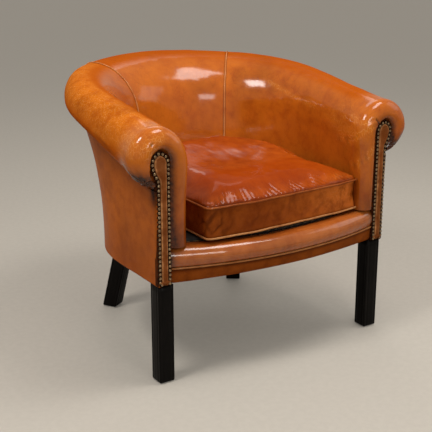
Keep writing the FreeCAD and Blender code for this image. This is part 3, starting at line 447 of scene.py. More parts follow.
def flatCoordinates(grid, rowZero=0, columnZero=0):
    # lengths along and across a sheet, in metres
    along = np.linalg.norm(np.diff(grid, axis=0), axis=2)
    across = np.linalg.norm(np.diff(grid, axis=1), axis=2)
    u = np.concatenate([np.zeros((1, grid.shape[1])), np.cumsum(along, 0)])
    v = np.concatenate([np.zeros((grid.shape[0], 1)), np.cumsum(across, 1)], 1)
    return np.stack([u - u[rowZero:rowZero + 1], v - v[:, columnZero:columnZero + 1]], 2)


def lineDistance(grid, line):
    # distance from every point of a sheet to a line of points in space
    line = np.array(line, float)
    best = np.full(grid.shape[:2], 1e9)
    for a, b in zip(line, line[1:]):
        edge = b - a
        t = np.clip((grid - a) @ edge / max(edge @ edge, 1e-12), 0, 1)
        best = np.minimum(best, np.linalg.norm(grid - a - t[..., None] * edge, axis=2))
    return best


def shareAcross(grid, last=1.0):
    # 0 to last over the columns, the same in every row
    return np.linspace(0, last, grid.shape[1])[None, :].repeat(grid.shape[0], 0)


def shareAlong(grid):
    return np.linspace(0, 1, grid.shape[0])[:, None]


def toRow(grid, *rows):
    # distance to the nearest of the named rows, column by column
    return np.min([np.linalg.norm(grid - grid[row], axis=2) for row in rows], 0)


softness = {"broad": 1.1, "broadSize": 130.0, "fine": 0.45, "fineSize": 42.0}


def softened(grid, seed, amount, hold):
    # slow wander of padded leather, kept off the edges by hold
    points = grid.reshape(-1, 3)
    lift = softness["broad"] * wobble(points, softness["broadSize"], seed, 2)
    lift = lift + softness["fine"] * wobble(points, softness["fineSize"], seed + 5, 2)
    lift = lift.reshape(grid.shape[:2]) * amount * hold
    return lifted(grid, lift), lift


looks = {}


def colour(r, g, b):
    # screen colour 0 to 255 into the light values the shader wants
    parts = [c / 255 for c in (r, g, b)]
    return tuple(p / 12.92 if p <= 0.04045 else ((p + 0.055) / 1.055) ** 2.4 for p in parts) + (1.0,)


# short ways to wire up a material
def newMaterial(name):
    material = bpy.data.materials.new(name)
    material.use_nodes = True
    tree = material.node_tree
    tree.nodes.clear()
    out = tree.nodes.new("ShaderNodeOutputMaterial")
    shader = tree.nodes.new("ShaderNodeBsdfPrincipled")
    tree.links.new(shader.outputs[0], out.inputs[0])
    looks[name] = material
    return material, tree, shader


def add(tree, kind, settings, inputs):
    node = tree.nodes.new("ShaderNode" + kind)
    for key, value in settings.items():
        setattr(node, key, value)
    for key, value in inputs.items():
        if isinstance(value, bpy.types.NodeSocket):
            tree.links.new(value, node.inputs[key])
        else:
            node.inputs[key].default_value = value
    return node


def maths(tree, operation, a, b):
    return add(tree, "Math", {"operation": operation}, {0: a, 1: b}).outputs[0]


def total(tree, *parts):
    value = parts[0]
    for part in parts[1:]:
        value = maths(tree, "ADD", value, part)
    return value


def product(tree, *parts):
    value = parts[0]
    for part in parts[1:]:
        value = maths(tree, "MULTIPLY", value, part)
    return value


def mixed(tree, share, a, b):
    return add(tree, "Mix", {"data_type": "RGBA"}, {0: share, 6: a, 7: b}).outputs[2]


def ranged(tree, value, low, high, toLow=0.0, toHigh=1.0):
    return add(tree, "MapRange", {"interpolation_type": "SMOOTHSTEP"},
               {0: value, 1: low, 2: high, 3: toLow, 4: toHigh}).outputs[0]


def noise(tree, where, scale, detail=3.0, rough=0.55, distortion=0.0):
    return add(tree, "TexNoise", {}, {"Vector": where, "Scale": scale, "Detail": detail, "Roughness": rough,
                                      "Distortion": distortion}).outputs


def cells(tree, where, scale, feature="F1", flat=False):
    settings = {"feature": feature}
    if flat:
        settings["voronoi_dimensions"] = "2D"
    return add(tree, "TexVoronoi", settings, {"Vector": where, "Scale": scale}).outputs[0]


def stretched(tree, where, scale, turn=(0, 0, 0)):
    return add(tree, "Mapping", {}, {"Vector": where, "Scale": scale, "Rotation": turn}).outputs[0]


def mask(tree, name):
    return add(tree, "Attribute", {"attribute_type": "GEOMETRY", "attribute_name": name}, {}).outputs["Fac"]


def objectPlace(tree):
    return add(tree, "TexCoord", {}, {}).outputs["Object"]


def raised(tree, shader, strength, height):
    # height in metres as the surface relief
    relief = add(tree, "Bump", {}, {"Strength": strength, "Distance": 1.0, "Height": height}).outputs[0]
    tree.links.new(relief, shader.inputs["Normal"])


def fitted(tree, shader, **sockets):
    # link or set the shader's sockets, named with their spaces left out
    for key, value in sockets.items():
        socket = next(s for s in shader.inputs if s.name.replace(" ", "") == key)
        if isinstance(value, bpy.types.NodeSocket):
            tree.links.new(value, socket)
        else:
            socket.default_value = value


# sizes of the grain are per metre, depths are in metres
grain = {"cloud": 6.5, "blot": 34.0, "speck": 170.0, "wander": 22.0, "patch": 15.0, "smudge": 60.0, "pebble": 620.0,
         "cell": 260.0, "crinkle": 95.0, "pebbleDeep": 0.00012, "cellHigh": 0.00009, "blotHigh": 0.0007, "relief": 0.9,
         "mattCoat": 0.04}


def leather(name, look):
    # antique hand-rubbed leather: cloudy dye, veins, worn ridges, dark in the folds
    _, tree, shader = newMaterial(name)
    place = objectPlace(tree)
    flat = add(tree, "UVMap", {"uv_map": "flat"}, {}).outputs[0]
    wear, patina, fold, matt = (mask(tree, layer) for layer in ("wear", "patina", "fold", "matt"))
    cloud = noise(tree, place, grain["cloud"], 3.0, 0.5)[0]
    blot = noise(tree, place, grain["blot"], 4.0, 0.6)[0]
    speck = noise(tree, place, grain["speck"], 3.0, 0.6)[0]
    dye = total(tree, product(tree, cloud, 0.6), product(tree, blot, 0.4))
    body = mixed(tree, ranged(tree, dye, 0.34, 0.66), look["deep"], look["light"])
    body = mixed(tree, ranged(tree, speck, 0.35, 0.75, 0.0, 0.35), body, look["mid"])
    # veins run across the roll, with broken wandering lines
    wander = noise(tree, flat, grain["wander"], 3.0, 0.6)[1]
    bent = add(tree, "VectorMath", {"operation": "MULTIPLY_ADD"},
               {0: wander, 1: (look["wander"],) * 3, 2: flat}).outputs[0]
    veinCells = cells(tree, stretched(tree, bent, look["veinStretch"]), look["veinScale"], "DISTANCE_TO_EDGE", True)
    patchy = ranged(tree, noise(tree, place, grain["patch"], 2.0, 0.5)[0], 0.42, 0.62)
    vein = product(tree, ranged(tree, veinCells, 0.0, look["veinWide"], 1.0, 0.0),
                   total(tree, product(tree, patchy, 0.85), 0.15))
    # rubbed dye, then pale fine cracks where it is worn through; the worn mask also lightens some sides as painted
    # light
    rubAndLight = product(tree, wear, ranged(tree, blot, 0.3, 0.62, 0.35, 1.0))
    body = mixed(tree, rubAndLight, body, look["rub"])
    worn = ranged(tree, wear, 0.5, 0.85)
    veinDark = ranged(tree, worn, 0.0, 1.0, look["veinDark"], 0.0)
    body = mixed(tree, product(tree, vein, veinDark), body, look["veinColour"])
    crackCells = cells(tree, stretched(tree, bent, (1.0, 0.62, 1.0), (0, 0, 0.6)), look["crackScale"],
                       "DISTANCE_TO_EDGE", True)
    crack = product(tree, ranged(tree, crackCells, 0.0, 0.12, 1.0, 0.0), ranged(tree, speck, 0.35, 0.6, 0.2, 1.0),
                    worn, ranged(tree, blot, 0.35, 0.6, 0.3, 1.0))
    body = mixed(tree, product(tree, crack, 0.75), body, look["veinPale"])
    # where the matt mask is set, the colour is pulled to the darker rim tone: painted shade on the tops of the rolls,
    # and darker over the cushion's front half
    body = mixed(tree, product(tree, matt, ranged(tree, worn, 0.0, 1.0, 0.75, 0.15)), body, look["rim"])
    # dark round the nails, painted shade under the rolls, in crease bottoms, seams and gaps, and darker low folds
    smear = noise(tree, place, grain["smudge"], 4.0, 0.7)[0]
    smudge = product(tree, patina, ranged(tree, smear, 0.25, 0.7, 0.65, 1.0))
    body = mixed(tree, smudge, body, look["dark"])
    body = mixed(tree, product(tree, fold, 0.55), body, look["dark"])
    gloss = total(tree, product(tree, blot, 0.16), look["rough"] - 0.08, product(tree, smudge, 0.1),
                  product(tree, matt, 0.2), product(tree, speck, 0.08))
    # pebble grain, pores, veins and soft creases
    pebble = add(tree, "TexVoronoi", {"feature": "SMOOTH_F1"},
                 {"Vector": place, "Scale": grain["pebble"], "Smoothness": 0.4}).outputs[0]
    pores = ranged(tree, cells(tree, place, grain["cell"], "DISTANCE_TO_EDGE"), 0.0, 0.16)
    crinkle = noise(tree, stretched(tree, flat, (1.0, look["crinkleStretch"], 1.0)), grain["crinkle"], 4.0, 0.6, 0.6)[0]
    height = total(tree, product(tree, pebble, -grain["pebbleDeep"]), product(tree, pores, grain["cellHigh"]),
                   product(tree, crinkle, look["crinkle"]), product(tree, vein, -look["veinDeep"]),
                   product(tree, blot, grain["blotHigh"]))
    raised(tree, shader, grain["relief"], height)
    coat = ranged(tree, matt, 0.0, 1.0, look["coat"], grain["mattCoat"]) if look["rimmed"] else look["coat"]
    fitted(tree, shader, BaseColor=body, Roughness=gloss, CoatWeight=coat, CoatRoughness=look["coatRough"],
           CoatIOR=look["coatIor"], IOR=1.42, SpecularIORLevel=0.0)


# rim: darker tone laid on the roll tops as painted shade; dark: colour of the marks round the nails and of the painted
# shade
tanInside = {"deep": colour(166, 76, 18), "mid": colour(178, 88, 22), "light": colour(192, 101, 28),
             "rub": colour(204, 110, 22), "rim": colour(170, 76, 10), "dark": colour(34, 12, 5),
             "veinColour": colour(120, 54, 14), "veinPale": colour(226, 158, 84), "veinDark": 0.22,
             "crackScale": 150.0, "veinDeep": 0.00025, "veinScale": 58.0, "veinStretch": (1.0, 0.42, 1.0),
             "veinWide": 0.05, "wander": 0.012, "rough": 0.36, "coat": 0.95, "coatRough": 0.13, "coatIor": 1.46,
             "crinkle": 0.001, "crinkleStretch": 0.6, "rimmed": True}
tanOutside = dict(tanInside, deep=colour(154, 72, 14), mid=colour(166, 80, 16), light=colour(180, 90, 20),
                  rub=colour(198, 104, 26), veinDark=0.15, rough=0.42, coat=0.3, veinScale=46.0,
                  veinStretch=(1.0, 0.8, 1.0), rimmed=False)
seatLook = dict(tanInside, rim=colour(156, 60, 8), deep=colour(134, 44, 6), mid=colour(148, 56, 9),
                light=colour(163, 67, 13), rub=colour(212, 102, 24), veinDark=0.2, rough=0.34, coat=0.75,
                veinStretch=(1.0, 1.0, 1.0), veinScale=44.0, crinkleStretch=1.0)
boxingLook = dict(tanOutside, coat=0.1, deep=colour(120, 52, 14), mid=colour(132, 60, 16), light=colour(146, 70, 20),
                  rub=colour(202, 106, 38), veinPale=colour(196, 116, 58))
borderLook = dict(tanOutside, coat=0.04, deep=colour(104, 46, 14), mid=colour(116, 54, 17), light=colour(130, 64, 22))
facingLook = dict(tanOutside, coat=0.12, deep=colour(104, 48, 12), mid=colour(116, 56, 16), light=colour(128, 64, 20),
                  rub=colour(216, 150, 96))
rollLook = dict(tanOutside, deep=colour(148, 68, 18), mid=colour(157, 76, 23), light=colour(167, 85, 29),
                rub=colour(194, 114, 52), rough=0.32, coat=1.0, coatIor=1.58, coatRough=0.15, crinkle=0.0005)
pipingLook = dict(tanOutside, deep=colour(140, 74, 26), mid=colour(154, 86, 34), light=colour(170, 100, 44),
                  rub=colour(206, 150, 98), veinDark=0.2, veinScale=150.0, rough=0.36)
weltLook = dict(pipingLook, deep=colour(132, 60, 18), mid=colour(146, 70, 24), light=colour(162, 84, 34),
                rub=colour(188, 116, 62))
seamLook = dict(pipingLook, deep=colour(178, 92, 34), mid=colour(192, 106, 44), light=colour(206, 122, 58),
                rub=colour(226, 166, 110), veinDark=0.0, coat=0.4)
leathers = {"tanInsideLeather": tanInside, "tanOutsideLeather": tanOutside, "seatLeather": seatLook,
            "boxingLeather": boxingLook, "borderLeather": borderLook, "facingLeather": facingLook,
            "rollLeather": rollLook, "pipingLeather": pipingLook, "weltLeather": weltLook, "seamLeather": seamLook}
for name, look in leathers.items():
    leather(name, look)


def blackWood(name):
    # black lacquer over close grain, a little dust and rubbed edges
    _, tree, shader = newMaterial(name)
    place = objectPlace(tree)
    lines = noise(tree, stretched(tree, place, (60.0, 60.0, 5.0)), 6.0, 5.0, 0.65)[0]
    dust = noise(tree, place, 14.0, 4.0, 0.6)[0]
    body = mixed(tree, ranged(tree, lines, 0.3, 0.7), colour(9, 7, 6), colour(15, 12, 10))
    body = mixed(tree, ranged(tree, dust, 0.55, 0.75, 0.0, 0.3), body, colour(21, 17, 14))
    raised(tree, shader, 0.5, product(tree, lines, 0.0003))
    fitted(tree, shader, BaseColor=body, Roughness=total(tree, product(tree, dust, 0.22), 0.24), SpecularIORLevel=0.08)


def bareWood(name):
    _, tree, shader = newMaterial(name)
    place = objectPlace(tree)
    rings = add(tree, "TexWave", {"wave_type": "RINGS"}, {"Vector": stretched(tree, place, (1.0, 5.0, 6.0)),
                "Scale": 9.0, "Distortion": 5.0, "Detail": 3.0}).outputs[1]
    pores = noise(tree, stretched(tree, place, (14.0, 90.0, 90.0)), 7.0, 3.0, 0.6)[0]
    body = mixed(tree, rings, colour(176, 136, 92), colour(204, 168, 122))
    body = mixed(tree, ranged(tree, pores, 0.45, 0.7, 0.0, 0.4), body, colour(138, 100, 62))
    raised(tree, shader, 0.6, product(tree, pores, 0.0004))
    fitted(tree, shader, BaseColor=body, Roughness=total(tree, product(tree, pores, 0.2), 0.5))


def metal(name, dark, light, rough, shine, scale=90.0, rim=None):
    _, tree, shader = newMaterial(name)
    place = objectPlace(tree)
    tarnish = noise(tree, place, scale, 4.0, 0.65)[0]
    fine = noise(tree, place, scale * 6, 3.0, 0.6)[0]
    body = mixed(tree, ranged(tree, tarnish, 0.35, 0.65), dark, light)
    gloss = total(tree, product(tree, tarnish, 0.25), rough)
    # rim colour where the mask is low: the foot of each nail head, darkened as painted shade for its dark edge
    # reflection
    if rim:
        rubAndLight = mask(tree, "wear")
        body = mixed(tree, rubAndLight, rim, body)
        gloss = total(tree, gloss, product(tree, maths(tree, "SUBTRACT", 1.0, rubAndLight), 0.3))
    raised(tree, shader, 0.7, product(tree, fine, 0.00012))
    fitted(tree, shader, BaseColor=body, Roughness=gloss, Metallic=shine)


def cloth(name, dark, light, pitch, high):
    # plain weave: two crossed sets of threads with slubs
    _, tree, shader = newMaterial(name)
    place = objectPlace(tree)
    x, y, z = add(tree, "SeparateXYZ", {}, {0: place}).outputs
    step = 2 * math.pi / pitch
    u = maths(tree, "SINE", product(tree, total(tree, x, z), step), 0.0)
    v = maths(tree, "SINE", product(tree, maths(tree, "SUBTRACT", y, product(tree, z, 0.6)), step), 0.0)
    weave = product(tree, u, v)
    lumps = noise(tree, place, 120.0, 3.0, 0.6)[0]
    shade = total(tree, product(tree, weave, 0.25), product(tree, lumps, 0.4))
    raised(tree, shader, 0.8, total(tree, product(tree, weave, high), product(tree, lumps, high)))
    fitted(tree, shader, BaseColor=mixed(tree, ranged(tree, shade, -0.1, 0.5), dark, light), Roughness=0.85)


def sponge(name):
    _, tree, shader = newMaterial(name)
    place = objectPlace(tree)
    cloud = noise(tree, place, 20.0, 3.0, 0.6)[0]
    raised(tree, shader, 0.7, product(tree, cells(tree, place, 700.0), 0.0005))
    fitted(tree, shader, BaseColor=mixed(tree, cloud, colour(214, 200, 160), colour(232, 222, 190)), Roughness=0.95)


blackWood("blackWood")
bareWood("bareWood")
sponge("sponge")
metal("springSteel", colour(120, 118, 114), colour(158, 156, 152), 0.3, 1.0)
metal("nailBronze", colour(132, 104, 78), colour(194, 166, 130), 0.12, 1.0, 240.0, colour(18, 11, 7))
metal("zipBrass", colour(150, 112, 52), colour(186, 146, 76), 0.24, 1.0, 160.0)
metal("glideSteel", colour(128, 126, 122), colour(150, 148, 144), 0.35, 0.9)
cloth("jute", colour(122, 92, 54), colour(176, 144, 96), 0.0022, 0.00025)
cloth("blackCloth", colour(22, 21, 20), colour(46, 44, 42), 0.0012, 0.00012)
cloth("zipTape", colour(58, 38, 24), colour(84, 58, 38), 0.0011, 0.0001)


def dress(piece, material, body="chair"):
    piece.data.materials.clear()
    piece.data.materials.append(looks[material])
    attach(piece, body)


def placed(name, grid, side, flat, **masks):
    # grid in millimetres for the right side, mirrored when side is -1
    piece = gridPiece(name, grid * mm * np.array([side, 1, 1]), flat, flip=side < 0)
    paint(piece, grid.shape[:2], **masks)
    return piece


sides = (("Right", 1, "right"), ("Left", -1, "left"))

# arm skins: inside, roll and scroll front in one hide; knots 0 to 6 run from the seat over the rim to the tuck
armShape = {"swell": 11.0, "swellY": -296.0, "swellWide": 52.0, "puff": 8.5, "puffY": -306.0, "puffWide": 40.0,
            "puffKnot": 4.25, "nearRows": 14, "dimple": 0.45, "dimpleReach": 9.0, "pitch": 10.7, "stepAcross": 6.6}
# wall and front lighten the right arm's inside as painted light; the under-roll, low-front, neck line and seam
# darkening are painted shade
armWear = {"top": {"Right": 0.12, "Left": 0.9}, "wall": {"Right": 0.54, "Left": 0.06},
           "front": {"Right": 0.25, "Left": 0.0}, "lowFront": {"Right": 0.05, "Left": 0.22}, "topWide": 1.1,
           "nailReach": 9.0, "creaseDark": 0.6, "smudge": 0.85, "smudgeWide": 15.0, "seam": 0.8, "seamWide": 3.0,
           "smudgeLine": [(398, -290, 548), (390, -306, 532), (373, -304, 508), (352, -306, 486)]}
# every crease: its line, how deep and how wide it is, its pale ridge and its dark bottom, which is painted shade
armCreases = {
    "Right": [([(272, -190, 520), (271.7, -217, 525.7), (257, -280, 536), (257, -300, 546), (272, -318, 560),
                (293, -325.7, 572)], 1.1, 3.0, 0.8, 0.0),
              ([(262, -262, 462), (261.6, -298, 467), (270, -316, 483), (282, -324, 499), (300, -321, 522)],
               1.0, 3.2, 0.7, 0.0),
              ([(256, -240, 600), (262, -285, 588), (276, -314, 580), (294, -326, 590)], 0.8, 4.0, 0.3, 0.0),
              ([(244, 81, 639), (256, 44, 625), (267, 5, 610), (272, -50, 598), (272.5, -104, 589)],
               0.5, 2.2, 0.75, 0.0),
              ([(299, -326, 589), (306, -326, 581), (309, -324, 572)], 1.8, 2.4, 0.2, 0.7),
              ([(262, -40, 520), (268, -90, 500), (270, -150, 492)], 0.6, 7.0, 0.1, 0.0)],
    "Left": [([(270, -270, 590), (276, -296, 566), (290, -318, 556)], 1.0, 4.0, 0.2, 0.1),
             ([(362, -326, 602), (371, -322, 590), (373, -320, 574), (367, -318, 558), (372, -313, 542)],
              2.6, 3.2, 0.3, 0.75),
             ([(367, -319, 566), (380, -320, 566), (392, -306, 563), (399, -288, 560)], 1.5, 2.6, 0.8, 0.3),
             ([(352, -322, 556), (361, -319, 546), (366, -314, 534)], 1.6, 3.0, 0.3, 0.6),
             ([(398, -120, 598), (402, -170, 580), (398, -215, 562)], 0.6, 6.0, 0.1, 0.0)],
}
# dark and darkReach set the painted shade in the hollow at the scroll's outer neck
neckPleats = {"centre": (348.0, -316.0, 512.0), "count": 5, "deep": 3.3, "reach": 62.0, "dark": 0.75, "darkReach": 34}


def creased(grid, creases):
    # lift, pale ridge and painted shade at the bottom of every crease
    mark, pale, dark = (np.zeros(grid.shape[:2]) for _ in range(3))
    for line, deep, wide, paleShare, shadeShare in creases:
        d = lineDistance(grid, line)
        pale += paleShare * bump(d, wide * 1.1, wide * 0.8)
        dark += shadeShare * closeTo(d, wide * 1.1)
        mark -= deep * (closeTo(d, wide) - 0.45 * bump(d, 2.1 * wide, wide))
    return mark, pale, dark


for label, side, end in sides:
    grid = armGrid.copy()
    rows, columns = grid.shape[:2]
    knot = shareAcross(grid, 6)
    toNail = np.full((rows, columns), 1e3)
    near = grid[:capColumns + armShape["nearRows"]]
    d, _ = outlineDistance(near.reshape(-1, 3)[:, [0, 2]])
    toNail[:len(near)] = np.hypot(d.reshape(near.shape[:2]), near[..., 1] - facing["frontY"])
    hold = smoothStep(0, 30, toNail) * calmEnds(knot, 0.5, 0.6, 6) * smoothStep(0, 0.06, 1 - shareAlong(grid))
    # stuffing that swells the wall's front and puffs the scroll
    s = armShape
    swell = s["swell"] * bump(grid[..., 1], s["swellY"], s["swellWide"])
    grid[..., 0] -= swell * smoothStep(2.7, 1.5, knot) * smoothStep(0, 26, toNail)
    puff = s["puff"] * bump(grid[..., 1], s["puffY"], s["puffWide"]) * bump(knot, s["puffKnot"], 1.0)
    grid = lifted(grid, puff * smoothStep(0, 24, toNail))
    grid, lift = softened(grid, 11 + side, 1.0, hold)
    mark, paleMark, creaseShade = creased(grid, armCreases[label])
    # folds drawn together at the outer neck of the scroll
    n = neckPleats
    spoke = grid - np.array(n["centre"])
    away = np.linalg.norm(spoke, axis=2)
    ray = np.arctan2(spoke[..., 1], spoke[..., 2])
    fan = np.cos(ray * 2 * n["count"] + 0.9 * np.sin(ray * 3)) * smoothStep(6, 14, away)
    fan = fan * closeTo(away, n["reach"]) ** 2.2
    mark += n["deep"] * fan * smoothStep(4.0, 4.8, knot)
    # small dimples where every nail pulls the edge down
    wave = np.cos(2 * math.pi * np.arange(columns)[None, :] * s["stepAcross"] / s["pitch"])
    mark[:capColumns] += s["dimple"] * wave * closeTo(toNail[:capColumns], s["dimpleReach"])
    mark = mark * smoothStep(1.5, 7, toNail) * smoothStep(0, 0.1, 6 - knot)
    toNeckShade = lineDistance(grid, armWear["smudgeLine"])
    grid = lifted(grid, mark)
    lift = lift + mark
    # worn top; the right arm's wall and front lightened as painted light; dark round the nails; painted shade under the
    # roll, in the tuck, at the low front, at the neck, in crease bottoms and beside the seam
    y = grid[..., 1]
    w = armWear
    wear = w["top"][label] * bump(knot, 3.35, w["topWide"]) + w["wall"][label] * bump(knot, 1.3, 1.1)
    wear = wear + 0.3 * np.clip(mark, 0, 1) * (toNail > 12) + paleMark
    wear = wear + w["front"][label] * bump(knot, 1.7, 1.2) * bump(y, -240, 70)
    matt = smoothStep(2.05, 2.65, knot) * smoothStep(5.2, 4.6, knot) * (1 - 0.85 * smoothStep(-215, -285, y))
    patina = closeTo(toNail, w["nailReach"] * (1 + 1.1 * bump(knot, 2.6, 0.9)))
    patina = patina + w["creaseDark"] * smoothStep(4.7, 5.6, knot) + 0.5 * smoothStep(0.5, 0.0, knot)
    patina = patina + 0.4 * smoothStep(-250, -290, y) * smoothStep(4.2, 5.2, knot)
    patina = patina + w["lowFront"][label] * smoothStep(1.7, 0.5, knot) * smoothStep(-260, -300, y)
    neckDark = closeTo(away, n["darkReach"]) * smoothStep(3.9, 4.8, knot)
    patina = patina + n["dark"] * neckDark * np.clip(0.65 - 0.5 * fan, 0, 1) + creaseShade
    patina = patina + w["smudge"] * closeTo(toNeckShade, w["smudgeWide"])
    patina = patina + w["seam"] * closeTo(toRow(grid, -1), w["seamWide"])
    flat = flatCoordinates(grid * mm, capColumns, topColumn)
    piece = placed("armSkin" + label, grid, side, flat, wear=wear * (1 - patina * 0.6), patina=patina,
                   fold=-lift / 2.2, matt=matt)
    dress(piece, "tanInsideLeather")
    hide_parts("inside_arm_" + end, "arm_pad_" + end, "scroll_cover_" + end, "scroll_pad_" + end)
print("arm skins made")

# back skin between the two seams
seamMark, farMark = insideMarks[ring["seam"]], insideMarks[farSeam]
backRows = int((farMark - seamMark) / ring["step"])
grid = splineAt(insideMarks, insideRows, np.linspace(seamMark, farMark, backRows + 1))
knot = shareAcross(grid, 6)
hold = calmEnds(shareAlong(grid), 0.06, 0.06) * calmEnds(knot, 0.5, 0.6, 6)
grid, lift = softened(grid, 31, 1.0, hold)
# painted shade under the roll, in the tuck at the seat and beside both seam welts
patina = 0.6 * smoothStep(5.2, 6.0, knot) + 0.5 * smoothStep(0.5, 0.0, knot)
patina = patina + armWear["seam"] * closeTo(toRow(grid, 0, -1), armWear["seamWide"])
piece = placed("backSkin", grid, 1, flatCoordinates(grid * mm, 0, topColumn), wear=0.25 * bump(knot, 1.2, 1.0),
               patina=patina, fold=-lift / 3.0, matt=smoothStep(2.0, 2.6, knot))
dress(piece, "tanInsideLeather")
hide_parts("inside_back", "back_pad")
print("back skin made")

# outside panels: straight fall to the hem, front edge wrapped round to the nails
# the seam and neck darkening set here is painted shade
panel = {"wrap": [(-4.5, -15.8), (-2.8, -15.4), (-1.2, -13.6), (-0.3, -10.5), (0.0, -6.0), (0.0, -3.0)],
         "soft": 0.8, "groove": 1.5, "grooveWide": 3.5, "seamDark": 0.5, "seamWide": 2.5, "frontY": -316.0,
         "neckSpot": [(352, -306, 500), (350, -307, 470)], "neckDark": 0.8, "neckWide": 17.0}


def outsideGrid(fromMark, toMark):
    count = int((toMark - fromMark) / ring["step"])
    return splineAt(outsideMarks, outsideRows, np.linspace(fromMark, toMark, count + 1))


def wrappedFront(grid):
    # extra rows that carry the panel's front edge round to the nails
    extra = [grid[0] + np.array([dx, dy, 0]) for dx, dy in panel["wrap"]]
    return np.concatenate([np.array(extra), grid])


def drawnIn(grid, toSeam):
    # the leather dips into the seams at the back
    return lifted(grid, -panel["groove"] * closeTo(toSeam, panel["grooveWide"]))


# painted shade under the roll at the top, darker towards the hem, and painted shade in the seam grooves
def panelShade(share, toSeam):
    return (0.5 * smoothStep(0.03, 0.0, share) + 0.4 * smoothStep(0.9, 1.0, share)
            + panel["seamDark"] * closeTo(toSeam, panel["seamWide"]))


seamOut, farOut = outsideMarks[ring["seam"]], outsideMarks[farSeam]
for label, side, end in sides:
    grid = wrappedFront(outsideGrid(0, seamOut))
    share = shareAcross(grid)
    fromFront = np.maximum(grid[..., 1] - panel["frontY"], 0)
    hold = smoothStep(0, 26, fromFront) * calmEnds(share, 0.1, 0.14) * smoothStep(0, 0.05, 1 - shareAlong(grid))
    grid, lift = softened(grid, 51 + side, panel["soft"], hold)
    toSeam = toRow(grid, -1)
    grid = drawnIn(grid, toSeam)
    # darker along the front edge turned in to the nails; painted shade in the hollow at the neck
    patina = panelShade(share, toSeam) + 0.4 * closeTo(fromFront, 9)
    patina = patina + panel["neckDark"] * closeTo(lineDistance(grid, panel["neckSpot"]), panel["neckWide"])
    # the band just under the roll is lightened as painted light
    piece = placed("outsideArm" + label, grid, side, flatCoordinates(grid * mm, len(panel["wrap"]), 0),
                   wear=0.5 * bump(share, 0.22, 0.2), patina=patina, fold=-lift / 3.0)
    dress(piece, "tanOutsideLeather")
    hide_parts("outside_arm_" + end)
grid = outsideGrid(seamOut, farOut)
share = shareAcross(grid)
hold = calmEnds(shareAlong(grid), 0.05, 0.05) * calmEnds(share, 0.1, 0.14)
grid, lift = softened(grid, 61, panel["soft"], hold)
toSeam = toRow(grid, 0, -1)
grid = drawnIn(grid, toSeam)
piece = placed("outsideBack", grid, 1, flatCoordinates(grid * mm), wear=0.3 * bump(share, 0.35, 0.25),
               patina=panelShade(share, toSeam), fold=-lift / 3.0)
dress(piece, "tanOutsideLeather")
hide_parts("outside_back")
print("outside panels made")


# facing strip: flat face, rounded edges turned back to the board
def inset(line, amount):
    # closed outline moved inwards along its normals
    ahead = np.roll(line, -1, 0) - np.roll(line, 1, 0)
    ahead /= np.maximum(np.linalg.norm(ahead, axis=1, keepdims=True), 1e-9)
    return line + np.reshape(amount, (-1, 1)) * np.stack([ahead[:, 1], -ahead[:, 0]], 1)


def evenly(line, count, closed=True):
    ends = np.concatenate([line, line[:1]]) if closed else line
    gaps = np.linalg.norm(np.diff(ends, axis=0), axis=1)
    marks = np.concatenate([[0], np.cumsum(gaps)])
    at = np.linspace(0, marks[-1], count, endpoint=not closed)
    return np.stack([np.interp(at, marks, ends[:, k]) for k in range(ends.shape[1])], 1)


# every step: how far in from the edge, its y, how worn it is and how dark it is
strip = {"steps": [(0.0, -302.0, 0, 0.6), (0.0, -313.4, 0, 0.8), (0.6, -314.8, 0, 0.9), (2.0, -315.5, 0, 1.0),
                   (6.0, -315.7, 0, 1.0), (9.0, -315.9, 0.1, 1.0), (9.9, -316.8, 0.7, 0.4), (10.7, -318.2, 1.0, 0),
                   (11.6, -319.0, 0.9, 0), (12.8, -319.4, 0.45, 0)],
         "faceSteps": [0.25, 0.5, 0.75, 1.0], "faceWear": 0.15, "middleX": 328.0, "topLean": 8.0, "faceY": -319.5,
         "points": 260, "ruffleSize": 9.0}
closedOutline = evenly(outline, strip["points"])
depths, levels, stepWear, stepDark = np.array(strip["steps"]).T
for label, side, end in sides:
    flatLine = np.concatenate([closedOutline, np.zeros((strip["points"], 1))], 1)
    ruffle = wobble(flatLine, strip["ruffleSize"], 41 + side, 2)
    grid = []
    for depth, y in zip(depths, levels):
        line = inset(closedOutline, depth + 0.5 * ruffle * (depth > 9))
        grid.append(np.stack([line[:, 0], y - 0.45 * ruffle * (depth > 9.5), line[:, 1]], 1))
    # rest of the face: the edge drawn in to a line down the middle
    facePart = inset(closedOutline, depths[-1])
    middle = strip["middleX"] + strip["topLean"] * smoothStep(470, 560, facePart[:, 1])
    for share in strip["faceSteps"]:
        x = facePart[:, 0] + (middle - facePart[:, 0]) * share
        grid.append(np.stack([x, np.full(len(x), strip["faceY"] - 0.3 * share), facePart[:, 1]], 1))
    grid = np.array(grid)
    face = len(strip["faceSteps"])
    wear = np.append(stepWear, [strip["faceWear"]] * face)[:, None] * (0.75 + 0.35 * ruffle[None, :])
    # darker towards the foot of the strip
    patina = np.append(stepDark, [0] * face)[:, None] + 0.3 * smoothStep(300, 255, grid[..., 2])
    spots = grid * mm * np.array([side, 1, 1])
    piece = gridPiece("facing" + label, spots, spots[..., [0, 2]], closed=True, flip=side > 0)
    paint(piece, grid.shape[:2], wear=wear, patina=patina, fold=0)
    dress(piece, "facingLeather")
    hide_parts("facing_" + end)
print("facings made")


